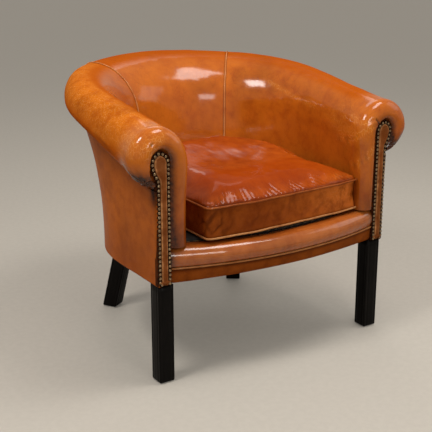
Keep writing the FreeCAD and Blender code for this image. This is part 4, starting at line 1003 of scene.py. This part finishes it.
# nail heads, one dome on every shank of the frame's nails
def islandCentres(node):
    # middle of every loose part of the node's mesh
    spots = spotsOf(node.data)
    edges = np.zeros(len(node.data.edges) * 2, int)
    node.data.edges.foreach_get("vertices", edges)
    edges = edges.reshape(-1, 2)
    group = np.arange(len(spots))
    while True:
        low = np.minimum(group[edges[:, 0]], group[edges[:, 1]])
        before = group.copy()
        np.minimum.at(group, edges[:, 0], low)
        np.minimum.at(group, edges[:, 1], low)
        group = group[group]
        if (group == before).all():
            break
    centres = {}
    for key, spot in zip(group, spots):
        centres.setdefault(int(key), []).append(spot)
    return [(np.min(c, 0) + np.max(c, 0)) / 2 for c in centres.values() if len(c) > 8]


nail = {"radius": 4.7, "high": 3.3, "rings": 7, "around": 16, "baseY": -0.3156, "lean": 0.07, "dent": 0.03,
        "round": 0.85}


def nailHeads(name, node, side):
    # low domes with a turned rim and slightly hammered tops
    verts, faces = [], []
    rng = np.random.RandomState(7 + side)
    around = nail["around"]
    for centre in islandCentres(node):
        cx, cz = centre[0], centre[2]
        base = len(verts)
        lean = rng.uniform(-nail["lean"], nail["lean"], 2)
        for k in range(nail["rings"] + 1):
            share = k / nail["rings"]
            r = nail["radius"] * math.cos(share * math.pi / 2) ** nail["round"] * mm
            out = nail["high"] * math.sin(share * math.pi / 2) * mm
            for m in range(around):
                turn = 2 * math.pi * m / around
                dent = 1 + rng.uniform(-nail["dent"], nail["dent"])
                x, z = r * dent * math.cos(turn), r * dent * math.sin(turn)
                verts.append((cx + x, nail["baseY"] - out + x * lean[0] + z * lean[1], cz + z))
        for k in range(nail["rings"]):
            for m in range(around):
                n = (m + 1) % around
                a = base + k * around
                b = a + around
                faces.append((a + m, a + n, b + n, b + m))
    piece = meshFrom(name, verts, faces)
    turnedOut(piece)
    level = np.linspace(0, 1, nail["rings"] + 1).repeat(around)
    # the foot of each dome is darkened as painted shade, the top kept bright
    paint(piece, wear=np.tile(smoothStep(0.3, 0.85, level), len(verts) // len(level)))
    return piece


# front edge: rolled nosing over the welt, border below
front = {"half": 309.0, "rollU": [312.0, 341.0, 369.2, 364.0], "rollZ": [336.5, 340.0, 317.0, 296.2],
         "rollDrop": [-7.0, -4.0, 0.0, 0.0], "rollBow": 53.0, "borderU": [364.0, 359.5, 348.0, 340.8],
         "borderZ": [290.8, 270.0, 258.0, 254.8], "borderBow": [53.0, 50.0, 41.5, 40.5], "weltU": 364.8,
         "weltZ": 293.5, "weltR": 2.3, "weltPoints": 260, "count": 150, "pucker": 0.55}


def bow(x, depth, half):
    radius = (half * half + depth * depth) / (2 * depth)
    return radius - np.sqrt(radius * radius - x * x)


def frontGrid(us, zs, bows, drops, start, heading, span):
    rows = []
    for x in np.linspace(-front["half"], front["half"], front["count"] + 1):
        share = (x / front["half"]) ** 2
        knots = [(u - bow(x, b, front["half"]), z - d * share) for u, z, b, d in zip(us, zs, bows, drops)]
        line = chainPoints(knots, start, heading, span)
        rows.append(np.stack([np.full(len(line), x), -line[:, 0], line[:, 1]], 1))
    return np.array(rows)


grid = frontGrid(front["rollU"], front["rollZ"], [front["rollBow"]] * 4, front["rollDrop"], 1, 0, 16)
x = grid[..., 0]
share = shareAcross(grid)
puckers = front["pucker"] * np.sin(x / 3.4 + 1.7 * np.sin(x / 23))
puckers = puckers * smoothStep(0.55, 1.0, share) * (1 - 0.5 * smoothStep(0.97, 1, share))
hold = calmEnds(share, 0.2, 0.1) * smoothStep(0, 18, front["half"] - np.abs(x))
soft, lift = softened(grid, 71, 0.9, hold)
grid = soft + gridNormals(grid) * (puckers * hold)[..., None]
# painted shade at both ends beside the facings and along the welt below, and painted shadow of the cushion over the
# roll's back
patina = 0.8 * closeTo(front["half"] - np.abs(grid[..., 0]), 10)
patina = patina + 0.55 * smoothStep(0.93, 1.0, share) + 0.6 * smoothStep(0.16, 0.0, share)
piece = placed("frontRoll", grid, 1, flatCoordinates(grid * mm, len(grid) // 2, 0),
               wear=0.4 * bump(share, 0.6, 0.3), patina=patina, fold=-(lift + puckers) / 2.5)
dress(piece, "rollLeather")
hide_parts("front_roll", "front_edge_pad")

grid = frontGrid(front["borderU"], front["borderZ"], front["borderBow"], [0] * 4, 0, math.radians(-96), 10)
share = shareAcross(grid)
hold = calmEnds(share, 0.2, 0.2) * smoothStep(0, 18, front["half"] - np.abs(grid[..., 0]))
grid, lift = softened(grid, 81, 0.6, hold)
# painted shade under the welt at the top and along the foot
piece = placed("frontBorder", grid, 1, flatCoordinates(grid * mm, len(grid) // 2, 0), wear=0.15 * hold,
               patina=0.7 * smoothStep(0.15, 0.0, share) + 0.5 * smoothStep(0.8, 1.0, share), fold=-lift / 2.5)
dress(piece, "borderLeather")
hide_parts("front_border")

x = np.linspace(-front["half"], front["half"], front["weltPoints"])
y = bow(x, front["rollBow"], front["half"]) - front["weltU"]
path = np.stack([x, y, np.full(len(x), front["weltZ"])], 1) * mm
piece = tubePiece("frontWelt", path, front["weltR"] * mm)
paint(piece, wear=0.35, patina=0, fold=0)
dress(piece, "pipingLeather")
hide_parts("front_welt")
print("front edge made")

# welts down the two back seams, from under the roll over the rim to the seat
seamWelt = {"radius": 1.75, "proud": 0.9, "points": 240, "pastKnot": 8, "sides": 10}
for label, side, end in sides:
    index = ring["seam"] if side > 0 else farSeam
    inner = insideRows[index][:5 * ring["span"] + seamWelt["pastKnot"]]
    ahead = np.gradient(inner, axis=0)
    ahead /= np.linalg.norm(ahead, axis=1, keepdims=True)
    tangent = np.gradient(insideRows, axis=0)[index][:len(inner)]
    out = np.cross(ahead, tangent)
    out /= np.linalg.norm(out, axis=1, keepdims=True)
    if out[topColumn, 2] < 0:
        out = -out
    path = evenly(inner + out * seamWelt["proud"], seamWelt["points"], closed=False) * mm
    piece = tubePiece("seamWelt" + label, path, seamWelt["radius"] * mm, seamWelt["sides"])
    high = smoothStep(0.45, 0.68, path[:, 2]).repeat(seamWelt["sides"])
    paint(piece, wear=0.7 - 0.4 * high, patina=0, fold=0)
    dress(piece, "seamLeather")
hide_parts("seam_welts")

for label, side, end in sides:
    piece = nailHeads("nailHeads" + label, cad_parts["facing_nails_" + end], side)
    dress(piece, "nailBronze")
    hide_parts("facing_nails_" + end)
print("welts and nail heads made")

# loose cushion: crowned top, drawn-in boxing, flat belly, welts on both edges
cushion = {"x": 11.5, "y": -77.0, "turn": 3.3, "half": 234.0, "arcY": 3.0, "front": -251.0, "frontR": 1690.0,
           "cornerR": 15.0, "ear": 6.0, "earBack": 16.0, "earWide": 42.0, "waist": 2.0, "waistWide": 120.0,
           "lowZ": 354.0, "highZ": 430.0, "crown": 33.0, "backRise": 28.0, "hollow": 13.0,
           "hollowSpot": (-20.0, -25.0), "hollowWide": (125.0, 100.0), "steep": 2.9, "steeper": 5.5, "belly": 7.6,
           "cornerSpot": (220.0, -235.0), "cornerWide": 45.0, "frontFade": (-205.0, -240.0),
           "zipFade": (150.0, 200.0), "pipeR": 2.5, "pipeOut": 2.8, "count": 420}


def cushionOutline():
    c = cushion
    side = c["half"] - c["cornerR"]
    reach = c["frontR"] - c["cornerR"]
    frontY = c["front"] + c["frontR"]
    cornerY = frontY - math.sqrt(reach ** 2 - side ** 2)
    slope = math.atan2(side, frontY - cornerY)
    halfway = (c["frontR"] * math.sin(slope / 2), frontY - c["frontR"] * math.cos(slope / 2))
    frontEnd = (c["frontR"] * math.sin(slope), frontY - c["frontR"] * math.cos(slope))
    turn = (math.pi / 2 + slope) / 2
    cornerMid = (side + c["cornerR"] * math.sin(turn), cornerY - c["cornerR"] * math.cos(turn))
    lean = c["half"] * math.sin(math.pi / 4)
    right = [arcThree((0, c["front"]), halfway, frontEnd, 40),
             arcThree(frontEnd, cornerMid, (c["half"], cornerY), 30),
             np.linspace((c["half"], cornerY), (c["half"], c["arcY"]), 50),
             arcThree((c["half"], c["arcY"]), (lean, c["arcY"] + lean), (0, c["arcY"] + c["half"]), 120)]
    line = np.concatenate([part[:-1] for part in right] + [right[-1][-1:]])
    line = evenly(np.concatenate([line, line[::-1][1:-1] * np.array([-1, 1])]), c["count"])
    # front corners pulled out a little, the middle of the front drawn in
    toCorner = np.hypot(np.abs(line[:, 0]) - c["half"], line[:, 1] - c["front"] - c["earBack"])
    pull = c["ear"] * closeTo(toCorner, c["earWide"])
    waist = c["waist"] * closeTo(line[:, 0], c["waistWide"]) * (line[:, 1] < 0)
    return line + np.stack([np.sign(line[:, 0]) * pull, waist - 0.3 * pull], 1)


count = cushion["count"]
boxDeep = cushion["highZ"] - cushion["lowZ"]
flatOutline = cushionOutline()
seamLoop = np.concatenate([flatOutline, flatOutline[:1]])
lap = np.concatenate([[0], np.cumsum(np.linalg.norm(np.diff(seamLoop, axis=0), axis=1))])[:-1]
atFront = smoothStep(*cushion["frontFade"], flatOutline[:, 1])
cornerX, cornerY = cushion["cornerSpot"]
toCorner = np.hypot(np.abs(flatOutline[:, 0]) - cornerX, flatOutline[:, 1] - cornerY)
atCorner = closeTo(toCorner, cushion["cornerWide"])
leftCorner = atCorner * (flatOutline[:, 0] < 0)
besideZip = 1 - smoothStep(*cushion["zipFade"], flatOutline[:, 1])


def toSeat(local):
    # from the cushion's own lines to its place on the seat
    turn = math.radians(cushion["turn"])
    x = cushion["x"] + local[..., 0] * math.cos(turn) - local[..., 1] * math.sin(turn)
    y = cushion["y"] + local[..., 0] * math.sin(turn) + local[..., 1] * math.cos(turn)
    return np.stack([x, y, local[..., 2]], -1)


def cushionSheet(shares, heights):
    rows = []
    for share, z in zip(shares, heights):
        rows.append(np.concatenate([flatOutline * share, np.full((count, 1), z)], 1))
    return np.array(rows)


def crownSheet(shares):
    # highest at the back, with a shallow sat-in hollow in the middle
    grid = cushionSheet(shares, np.full(len(shares), cushion["highZ"]))
    steep = cushion["steep"] + cushion["steeper"] * smoothStep(-200, 60, flatOutline[:, 1])
    crown = cushion["crown"] * np.sqrt(np.maximum(1 - shares[:, None] ** steep, 0))
    crown = crown + cushion["backRise"] * smoothStep(-200, 230, grid[..., 1]) * smoothStep(0, 0.06, 1 - shares[:, None])
    away = (grid[..., :2] - np.array(cushion["hollowSpot"])) / np.array(cushion["hollowWide"])
    grid[..., 2] += crown - cushion["hollow"] * np.exp(-(away ** 2).sum(2))
    return grid


def evaluated(piece):
    # a mesh copy of the piece with its modifiers worked in
    layer = bpy.context.evaluated_depsgraph_get()
    return bpy.data.meshes.new_from_object(piece.evaluated_get(layer))


press = {"voxel": 0.0065, "mass": 0.3, "pressure": 3.5, "slack": 0.025, "stiff": 8.0, "bend": 0.5, "damping": 10,
         "frames": 20, "cap": 0.014, "smooth": 2}


def clothShift(body, held):
    # blow the closed body up as cloth sewn down at its seams, and give back how far each spot moves
    remesh = body.modifiers.new("even", "REMESH")
    remesh.mode = "VOXEL"
    remesh.voxel_size = press["voxel"]
    even = evaluated(body)
    body.modifiers.clear()
    body.data = even
    rest = spotsOf(even)
    group = body.vertex_groups.new(name="held")
    for index, weight in enumerate(held(rest)):
        if weight > 0.01:
            group.add([index], float(weight), "REPLACE")
    cloth = body.modifiers.new("cloth", "CLOTH")
    how = cloth.settings
    how.quality, how.mass = 6, press["mass"]
    how.tension_stiffness = how.compression_stiffness = press["stiff"]
    how.shear_stiffness = press["stiff"] * 0.6
    how.bending_stiffness = press["bend"]
    how.tension_damping = how.compression_damping = how.shear_damping = press["damping"]
    how.use_pressure = True
    how.uniform_pressure_force = press["pressure"]
    how.shrink_min = how.shrink_max = -press["slack"]
    how.vertex_group_mass = "held"
    how.pin_stiffness = 4
    how.effector_weights.gravity = 0
    cloth.collision_settings.use_self_collision = False
    cloth.point_cache.frame_start, cloth.point_cache.frame_end = 1, press["frames"]
    for step in range(1, press["frames"] + 1):
        bpy.context.scene.frame_set(step)
    moved = spotsOf(evaluated(body))
    bpy.context.scene.frame_set(1)
    shift = moved - rest
    far = np.linalg.norm(shift, axis=1, keepdims=True)
    shift = shift * np.minimum(1, press["cap"] / np.maximum(far, 1e-9))
    ends = np.zeros(len(even.edges) * 2, int)
    even.edges.foreach_get("vertices", ends)
    a, b = ends.reshape(-1, 2).T
    for _ in range(press["smooth"]):
        gathered, number = shift.copy(), np.ones((len(rest), 1))
        for u, v in ((a, b), (b, a)):
            np.add.at(gathered, u, shift[v])
            np.add.at(number, u, 1)
        shift = gathered / number
    even.calc_loop_triangles()
    faces = np.array([t.vertices for t in even.loop_triangles])
    tree = BVHTree.FromPolygons([tuple(p) for p in rest], [tuple(f) for f in faces.tolist()])
    bpy.data.objects.remove(body)

    def at(points):
        out = np.zeros(points.shape)
        for i, point in enumerate(points):
            spot, _, index, _ = tree.find_nearest(point)
            corner = faces[index]
            near = 1 / (np.linalg.norm(rest[corner] - np.array(spot), axis=1) + 1e-5)
            out[i] = (shift[corner] * near[:, None]).sum(0) / near.sum()
        return out
    return at


def shiftedBy(grid, carry):
    # the simulated movement of the sheet, eased over its neighbours
    if carry is None:
        return grid
    move = carry(grid.reshape(-1, 3) * mm).reshape(grid.shape) / mm
    for _ in range(2):
        move = (np.roll(move, 1, 1) + 2 * move + np.roll(move, -1, 1)) / 4
        move[1:-1] = (move[:-2] + 2 * move[1:-1] + move[2:]) / 4
    return grid + move


def heldAt(spots):
    # sewn down along both welts, resting on the deck below
    spots = spots / mm
    aside, _ = outlineDistance(spots[:, :2], seamLoop)
    toSeam = np.min([np.hypot(aside, spots[:, 2] - z) for z in (cushion["highZ"], cushion["lowZ"])], 0)
    return np.maximum(smoothStep(8, 5, toSeam), spots[:, 2] < cushion["lowZ"] + 2)


# the whole cushion as one closed body for the cloth run
carry = None
body = [cushionSheet(1 - 0.97 * np.linspace(0, 1, 12)[::-1], np.full(12, cushion["lowZ"]))[:-1],
        cushionSheet(np.ones(12), np.linspace(cushion["lowZ"], cushion["highZ"], 12))[:-1],
        crownSheet(1 - 0.97 * np.linspace(0, 1, 40) ** 1.2)]
grid = np.concatenate(body)
trial = gridPiece("cushionTrial", grid * mm, grid[..., :2], closed=True)
turnedOut(trial, (0, (len(grid) - 1) * count), count)
carry = clothShift(trial, heldAt)
print("cushion cloth run done")

# crowned top with slanting gathers sewn into the front welt
gathers = {"rows": 62, "pitch": 13.5, "slant": 0.55, "high": 1.5, "reach": 26.0, "reachVaries": 16.0, "broad": 2.2,
           "broadSize": 150.0, "fine": 0.9, "fineSize": 34.0, "fineStretch": (1.0, 0.55, 1.0)}
shares = 1 - 0.985 * np.linspace(0, 1, gathers["rows"]) ** 1.4
grid = shiftedBy(crownSheet(shares), carry)
grid[0] = cushionSheet([1.0], [cushion["highZ"]])[0]
fromEdge = (1 - shares)[:, None] * cushion["half"]
phase = 2 * math.pi * (lap + gathers["slant"] * fromEdge) / gathers["pitch"]
phase = phase + 1.4 * np.sin(lap / 31.0) + 0.9 * np.sin(lap / 12.7)
strength = 0.6 + 0.4 * np.sin(lap / 47.0 + 1) * np.sin(lap / 19.0)
reachIn = gathers["reach"] + gathers["reachVaries"] * np.sin(lap / 17.3) * np.sin(lap / 41.0)
gather = np.sin(phase) * strength * closeTo(fromEdge, reachIn) * smoothStep(0, 5, fromEdge)
gather = gather * (0.25 + 0.75 * atFront + 0.5 * atCorner)
points = grid.reshape(-1, 3)
wander = gathers["broad"] * wobble(points, gathers["broadSize"], 101, 2)
wander = wander + gathers["fine"] * wobble(points * np.array(gathers["fineStretch"]), gathers["fineSize"], 105, 2)
wander = wander.reshape(grid.shape[:2]) * smoothStep(0, 30, fromEdge)
grid = lifted(grid, gathers["high"] * gather + wander, closed=True)
x, y = grid[..., 0], grid[..., 1]
wear = 0.35 * bump(fromEdge, 14, 14) * (0.4 + 0.6 * atFront)
# more worn towards the middle; lightened towards the right side as painted light
wear = wear + 0.15 * (1 - shares)[:, None] + 0.4 * smoothStep(20, 210, x)
# painted shade beside the top welt and painted shadow of the left arm over the left front; a little darker near the
# front edge
patina = 0.5 * closeTo(fromEdge, 4) + 0.2 * smoothStep(-90, -215, x) * smoothStep(40, -60, y)
patina = patina + 0.06 * smoothStep(60, 10, fromEdge) * atFront
matt = (0.52 + 0.18 * smoothStep(18, 60, fromEdge)) * smoothStep(-60, -120, y)
piece = gridPiece("cushionTop", toSeat(grid) * mm, grid[..., :2] * mm, closed=True)
paint(piece, grid.shape[:2], wear=wear, patina=patina, fold=-gather * 0.8 - wander / 9, matt=matt)
turnedOut(piece, [(len(grid) - 1) * count], count, True)
dress(piece, "seatLeather", "cushion")
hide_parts("cushion_top", "cushion_core")

# boxing drawn in at its waist, crumpled at the front corners, calm beside the zip
boxing = {"rows": 19, "waist": 0.014, "crumple": 1.6, "ridgeSize": 34.0, "ridgeWide": 0.16, "broad": 0.9,
          "broadSize": 70.0, "fine": 0.5, "fineSize": 26.0}
levels = np.linspace(0, 1, boxing["rows"])
arch = np.sin(np.pi * levels)[:, None]
grid = cushionSheet(1 - boxing["waist"] * arch[:, 0], cushion["lowZ"] + boxDeep * levels)
ends = grid[[0, -1]].copy()
grid = grid + (shiftedBy(grid, carry) - grid) * besideZip[:, None]
grid[[0, -1]] = ends
rise = levels[:, None] * boxDeep
points = grid.reshape(-1, 3)
leaning = points @ np.array([[1.0, 0.0, 0.35], [0.0, 1.0, 0.35], [-0.5, 0.0, 0.55]])
ridge = wobble(leaning, boxing["ridgeSize"], 117, 3).reshape(grid.shape[:2])
crumple = 0.4 - 1.3 * closeTo(ridge, boxing["ridgeWide"]) + 0.5 * ridge
crumple = crumple * (0.3 + 0.6 * leftCorner + 0.5 * atCorner) * np.maximum(arch, 0) ** 0.5
wander = boxing["broad"] * wobble(points, boxing["broadSize"], 111, 2)
wander = wander + boxing["fine"] * wobble(points, boxing["fineSize"], 115, 2)
lift = (boxing["crumple"] * crumple + wander.reshape(grid.shape[:2]) * arch) * besideZip
grid = lifted(grid, lift, closed=True)
x = grid[..., 0]
flat = np.stack(np.broadcast_arrays(lap, rise), 2) * mm
piece = gridPiece("cushionBoxing", toSeat(grid) * mm, flat, closed=True)
# lightened towards the right of the front as painted light; painted shade along both welts and painted shadow of the
# left arm on the left part
paint(piece, grid.shape[:2], wear=0.1 + 0.15 * crumple + 0.8 * smoothStep(-110, 210, x) * atFront,
      patina=0.55 * closeTo(np.minimum(rise, boxDeep - rise), 4) + 0.22 * smoothStep(-90, -200, x),
      fold=-lift / 2.6)
turnedOut(piece)
dress(piece, "boxingLeather", "cushion")
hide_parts("cushion_boxing")

t = np.linspace(0, 1, 24)
grid = cushionSheet(1 - 0.97 * t, cushion["lowZ"] - cushion["belly"] * (1 - (1 - t) ** 4))
piece = gridPiece("cushionBottom", toSeat(grid) * mm, grid[..., :2] * mm, closed=True)
turnedOut(piece, [(len(grid) - 1) * count], count, True)
paint(piece, wear=0, patina=0, fold=0)
dress(piece, "boxingLeather", "cushion")
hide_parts("cushion_bottom")

pipeKinds = [("pipingTop", cushion["highZ"], "weltLeather", 0.15),
             ("pipingBottom", cushion["lowZ"], "pipingLeather", 0.75)]
for name, z, material, wear in pipeKinds:
    scale = 1 + cushion["pipeOut"] / cushion["half"]
    line = np.concatenate([flatOutline * scale, np.full((count, 1), z)], 1)
    line[:, 2] += 0.7 * np.sin(lap / 37.0) * atFront + 0.4 * np.sin(lap / 15.0)
    piece = tubePiece(name, toSeat(line) * mm, cushion["pipeR"] * mm, 12, closed=True)
    paint(piece, wear=wear, patina=0, fold=0)
    dress(piece, material, "cushion")
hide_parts("cushion_piping")
print("cushion made")

# legs: square posts with a bead line near every edge and softened corners
legs = {"side": 41.5, "rearSide": 43.0, "edge": 3.2, "line": 7.5, "lineWide": 1.3, "lineDeep": 0.7, "lowZ": 3.0,
        "highZ": 253.6, "frontX": 322.5, "frontY": -291.2, "rearTop": 323.0, "rearFoot": 385.0, "rearTurn": 56.6,
        "baseY": -108.0, "footTrims": [(0.0, 1.6), (1.4, 0.5), (4.0, 0.0)], "plainFrom": 20.0, "levels": 14}


def legSection(side):
    half, edge, line, wide = side / 2, legs["edge"], legs["line"], legs["lineWide"]
    marks = [edge - half, line - wide - half, line - half, line + wide - half, -half * 0.3]
    marks = marks + [0] + [-m for m in marks[::-1]]
    quarter = [(half, m) for m in marks]
    for index in (2, 8):
        quarter[index] = (half - legs["lineDeep"], marks[index])
    for k in range(1, 4):
        turn = math.pi / 2 * k / 4
        quarter.append((half - edge + edge * math.cos(turn), half - edge + edge * math.sin(turn)))
    section = []
    for k in range(4):
        turn = math.pi / 2 * k
        for a, b in quarter:
            section.append((a * math.cos(turn) - b * math.sin(turn), a * math.sin(turn) + b * math.cos(turn)))
    return np.array(section)


def legPiece(name, top, foot, turn, side):
    c, s = math.cos(turn), math.sin(turn)
    section = legSection(side) @ np.array([[c, s], [-s, c]])
    top, foot = np.array(top), np.array(foot)
    n = len(section)
    levels = [(legs["lowZ"] + up, trim) for up, trim in legs["footTrims"]]
    levels += [(z, 0.0) for z in np.linspace(legs["plainFrom"], legs["highZ"], legs["levels"])]
    rings = []
    for z, trim in levels:
        share = (z - legs["lowZ"]) / (legs["highZ"] - legs["lowZ"])
        spots = foot + (top - foot) * share + section * (1 - trim / (side / 2))
        rings.append(np.concatenate([spots, np.full((n, 1), z)], 1))
    faces = []
    for i in range(len(rings) - 1):
        for j in range(n):
            k = (j + 1) % n
            faces.append((i * n + j, i * n + k, (i + 1) * n + k, (i + 1) * n + j))
    faces.append(tuple(range(n))[::-1])
    faces.append(tuple((len(rings) - 1) * n + j for j in range(n)))
    piece = meshFrom(name, np.array(rings).reshape(-1, 3) * mm, faces)
    turnedOut(piece)
    return piece


rearTurn = math.radians(legs["rearTurn"])
for label, side, end in sides:
    spot = (legs["frontX"] * side, legs["frontY"])
    piece = legPiece("frontLeg" + label, spot, spot, 0, legs["side"])
    dress(piece, "blackWood")
    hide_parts("front_leg_" + end)
    heading = rearTurn if side > 0 else math.pi - rearTurn
    topSpot, footSpot = [(math.cos(heading) * reach, legs["baseY"] + math.sin(heading) * reach)
                         for reach in (legs["rearTop"], legs["rearFoot"])]
    piece = legPiece("rearLeg" + label, topSpot, footSpot, heading, legs["rearSide"])
    dress(piece, "blackWood")
    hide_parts("rear_leg_" + end)
print("legs made")

# deck under the cushion: thin pad and its black cloth
_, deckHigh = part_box("deck_cloth")
padLow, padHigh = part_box("deck_pad")
deck = {"middle": (0.0, -0.1), "points": 260, "edge": [(0.0, 0.02), (0.0, 0.75), (0.004, 1.0)], "rows": 26,
        "waveSize": 60.0, "below": 0.004, "sag": 0.0002, "padIn": 0.004}


def deckLine():
    # the cloth's own outline, its points put in order round the middle
    spots = np.array([v.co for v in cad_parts["deck_cloth"].data.vertices])
    flat = spots[:, :2] - np.array(deck["middle"])
    order = np.argsort(np.arctan2(flat[:, 1], flat[:, 0]))
    return evenly(spots[order][:, :2], deck["points"])


def deckPiece(name, low, high, shrink, sag, seed, closed=True):
    line = deckLine()
    centre = line.mean(0)
    levels = deck["edge"] + [(s, 1.0) for s in np.linspace(0.03, 0.98, deck["rows"])]
    rows = []
    for share, level in levels:
        spots = centre + (line - centre) * ((1 - share) * (1 - shrink))
        rows.append(np.concatenate([spots, np.full((len(line), 1), low + (high - low) * level)], 1))
    grid = np.array(rows)
    wave = wobble(grid.reshape(-1, 3) / mm, deck["waveSize"], seed, 2).reshape(grid.shape[:2])
    inner = np.array([s for s, _ in levels])[:, None]
    grid[..., 2] -= np.maximum(wave, 0) * sag * smoothStep(0.02, 0.12, inner)
    piece = gridPiece(name, grid, grid[..., :2], closed=True)
    turnedOut(piece, [(len(grid) - 1) * len(line)] + [0] * closed, len(line))
    return piece


piece = deckPiece("deckCloth", padLow[2] - deck["below"], deckHigh[2], 0.0, deck["sag"], 121, False)
dress(piece, "blackCloth")
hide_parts("deck_cloth")
piece = deckPiece("deckPad", padLow[2], padHigh[2], deck["padIn"], 0.0, 122)
dress(piece, "sponge")
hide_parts("deck_pad")

# finishes for the frame parts that stay as they are
sided = ("side_rail", "arm_post", "arm_rail", "back_upright", "scroll_board")
kept = {"blackCloth": ["outside_liner", "dust_cover"], "jute": ["seat_hessian", "back_hessian"],
        "springSteel": ["seat_springs", "spring_clips", "leg_bolts", "corner_screws", "cover_tacks"],
        "glideSteel": ["foot_glides"], "zipTape": ["cushion_zip"], "zipBrass": ["zip_slider"],
        "bareWood": ["front_rail", "back_rail", "corner_blocks", "back_top_rail"]
        + [stem + "_" + end for stem in sided for _, _, end in sides]}
for material, names in kept.items():
    for name in names:
        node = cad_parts[name]
        node.data.materials.clear()
        node.data.materials.append(looks[material])
print("frame parts dressed")

# pale floor, soft lamps and the camera
stage = {"floor": 60.0, "glow": 0.16, "floorTone": (184, 177, 166), "backTone": (180, 173, 162), "world": 0.36,
         "fillTone": (1.0, 0.98, 0.95, 1.0), "lampTone": (1, 0.97, 0.93)}
corners = [(stage["floor"] * a, stage["floor"] * b, 0) for a, b in ((-1, -1), (1, -1), (1, 1), (-1, 1))]
floor = meshFrom("floor", corners, [(0, 1, 2, 3)], False)
material, tree, shader = newMaterial("paleFloor")
grainy = noise(tree, objectPlace(tree), 60.0, 4.0, 0.6)[0]
lighter = colour(*[c + 4 for c in stage["floorTone"]])
tone = mixed(tree, ranged(tree, grainy, 0.3, 0.7), colour(*stage["floorTone"]), lighter)
seen = tree.nodes.new("ShaderNodeLightPath").outputs["Is Camera Ray"]
fitted(tree, shader, BaseColor=tone, Roughness=0.7, EmissionColor=tone,
       EmissionStrength=product(tree, seen, stage["glow"]))
floor.data.materials.append(material)

world = bpy.data.worlds.new("studio")
bpy.context.scene.world = world
world.use_nodes = True
tree = world.node_tree
tree.nodes.clear()
rays = tree.nodes.new("ShaderNodeLightPath").outputs
seen = maths(tree, "MAXIMUM", maths(tree, "MAXIMUM", rays["Is Camera Ray"], rays["Is Glossy Ray"]),
             rays["Is Transmission Ray"])
fill = add(tree, "Background", {}, {0: stage["fillTone"], 1: stage["world"]})
show = add(tree, "Background", {}, {0: colour(*stage["backTone"]), 1: 1.0})
both = add(tree, "MixShader", {}, {0: seen, 1: fill.outputs[0], 2: show.outputs[0]})
tree.links.new(both.outputs[0], tree.nodes.new("ShaderNodeOutputWorld").inputs[0])


def softBox(name, spot, target, wide, high, power):
    lamp = bpy.data.lights.new(name, "AREA")
    lamp.shape = "RECTANGLE"
    lamp.size, lamp.size_y = wide, high
    lamp.energy = power
    lamp.color = stage["lampTone"]
    holder = bpy.data.objects.new(name, lamp)
    bpy.context.scene.collection.objects.link(holder)
    holder.location = spot
    holder.rotation_euler = (Vector(target) - Vector(spot)).to_track_quat("-Z", "Y").to_euler()


softBox("topBox", (0.5, -0.6, 2.35), (0.1, 0.1, 0.5), 0.95, 0.75, 21)
softBox("leftBox", (-1.35, -0.4, 2.15), (0, 0, 0.5), 0.5, 0.6, 20)
softBox("frontBox", (-0.25, -2.5, 1.45), (0, 0, 0.35), 0.9, 0.5, 11)
softBox("rightBox", (2.3, -0.9, 1.7), (0, 0, 0.4), 1.2, 1.2, 5)
softBox("rearBox", (1.0, 1.75, 2.45), (0, 0, 0.5), 1.2, 0.8, 6)

view = bpy.data.cameras.new("photoView")
view.lens = 79.1
view.sensor_width = 36.0
camera = bpy.data.objects.new("photoView", view)
bpy.context.scene.collection.objects.link(camera)
camera.location = (-1.3432, -2.1498, 1.0694)
camera.rotation_euler = (math.radians(72.986), 0, math.radians(-32.259))
bpy.context.scene.camera = camera
bpy.context.scene.view_settings.view_transform = "Standard"
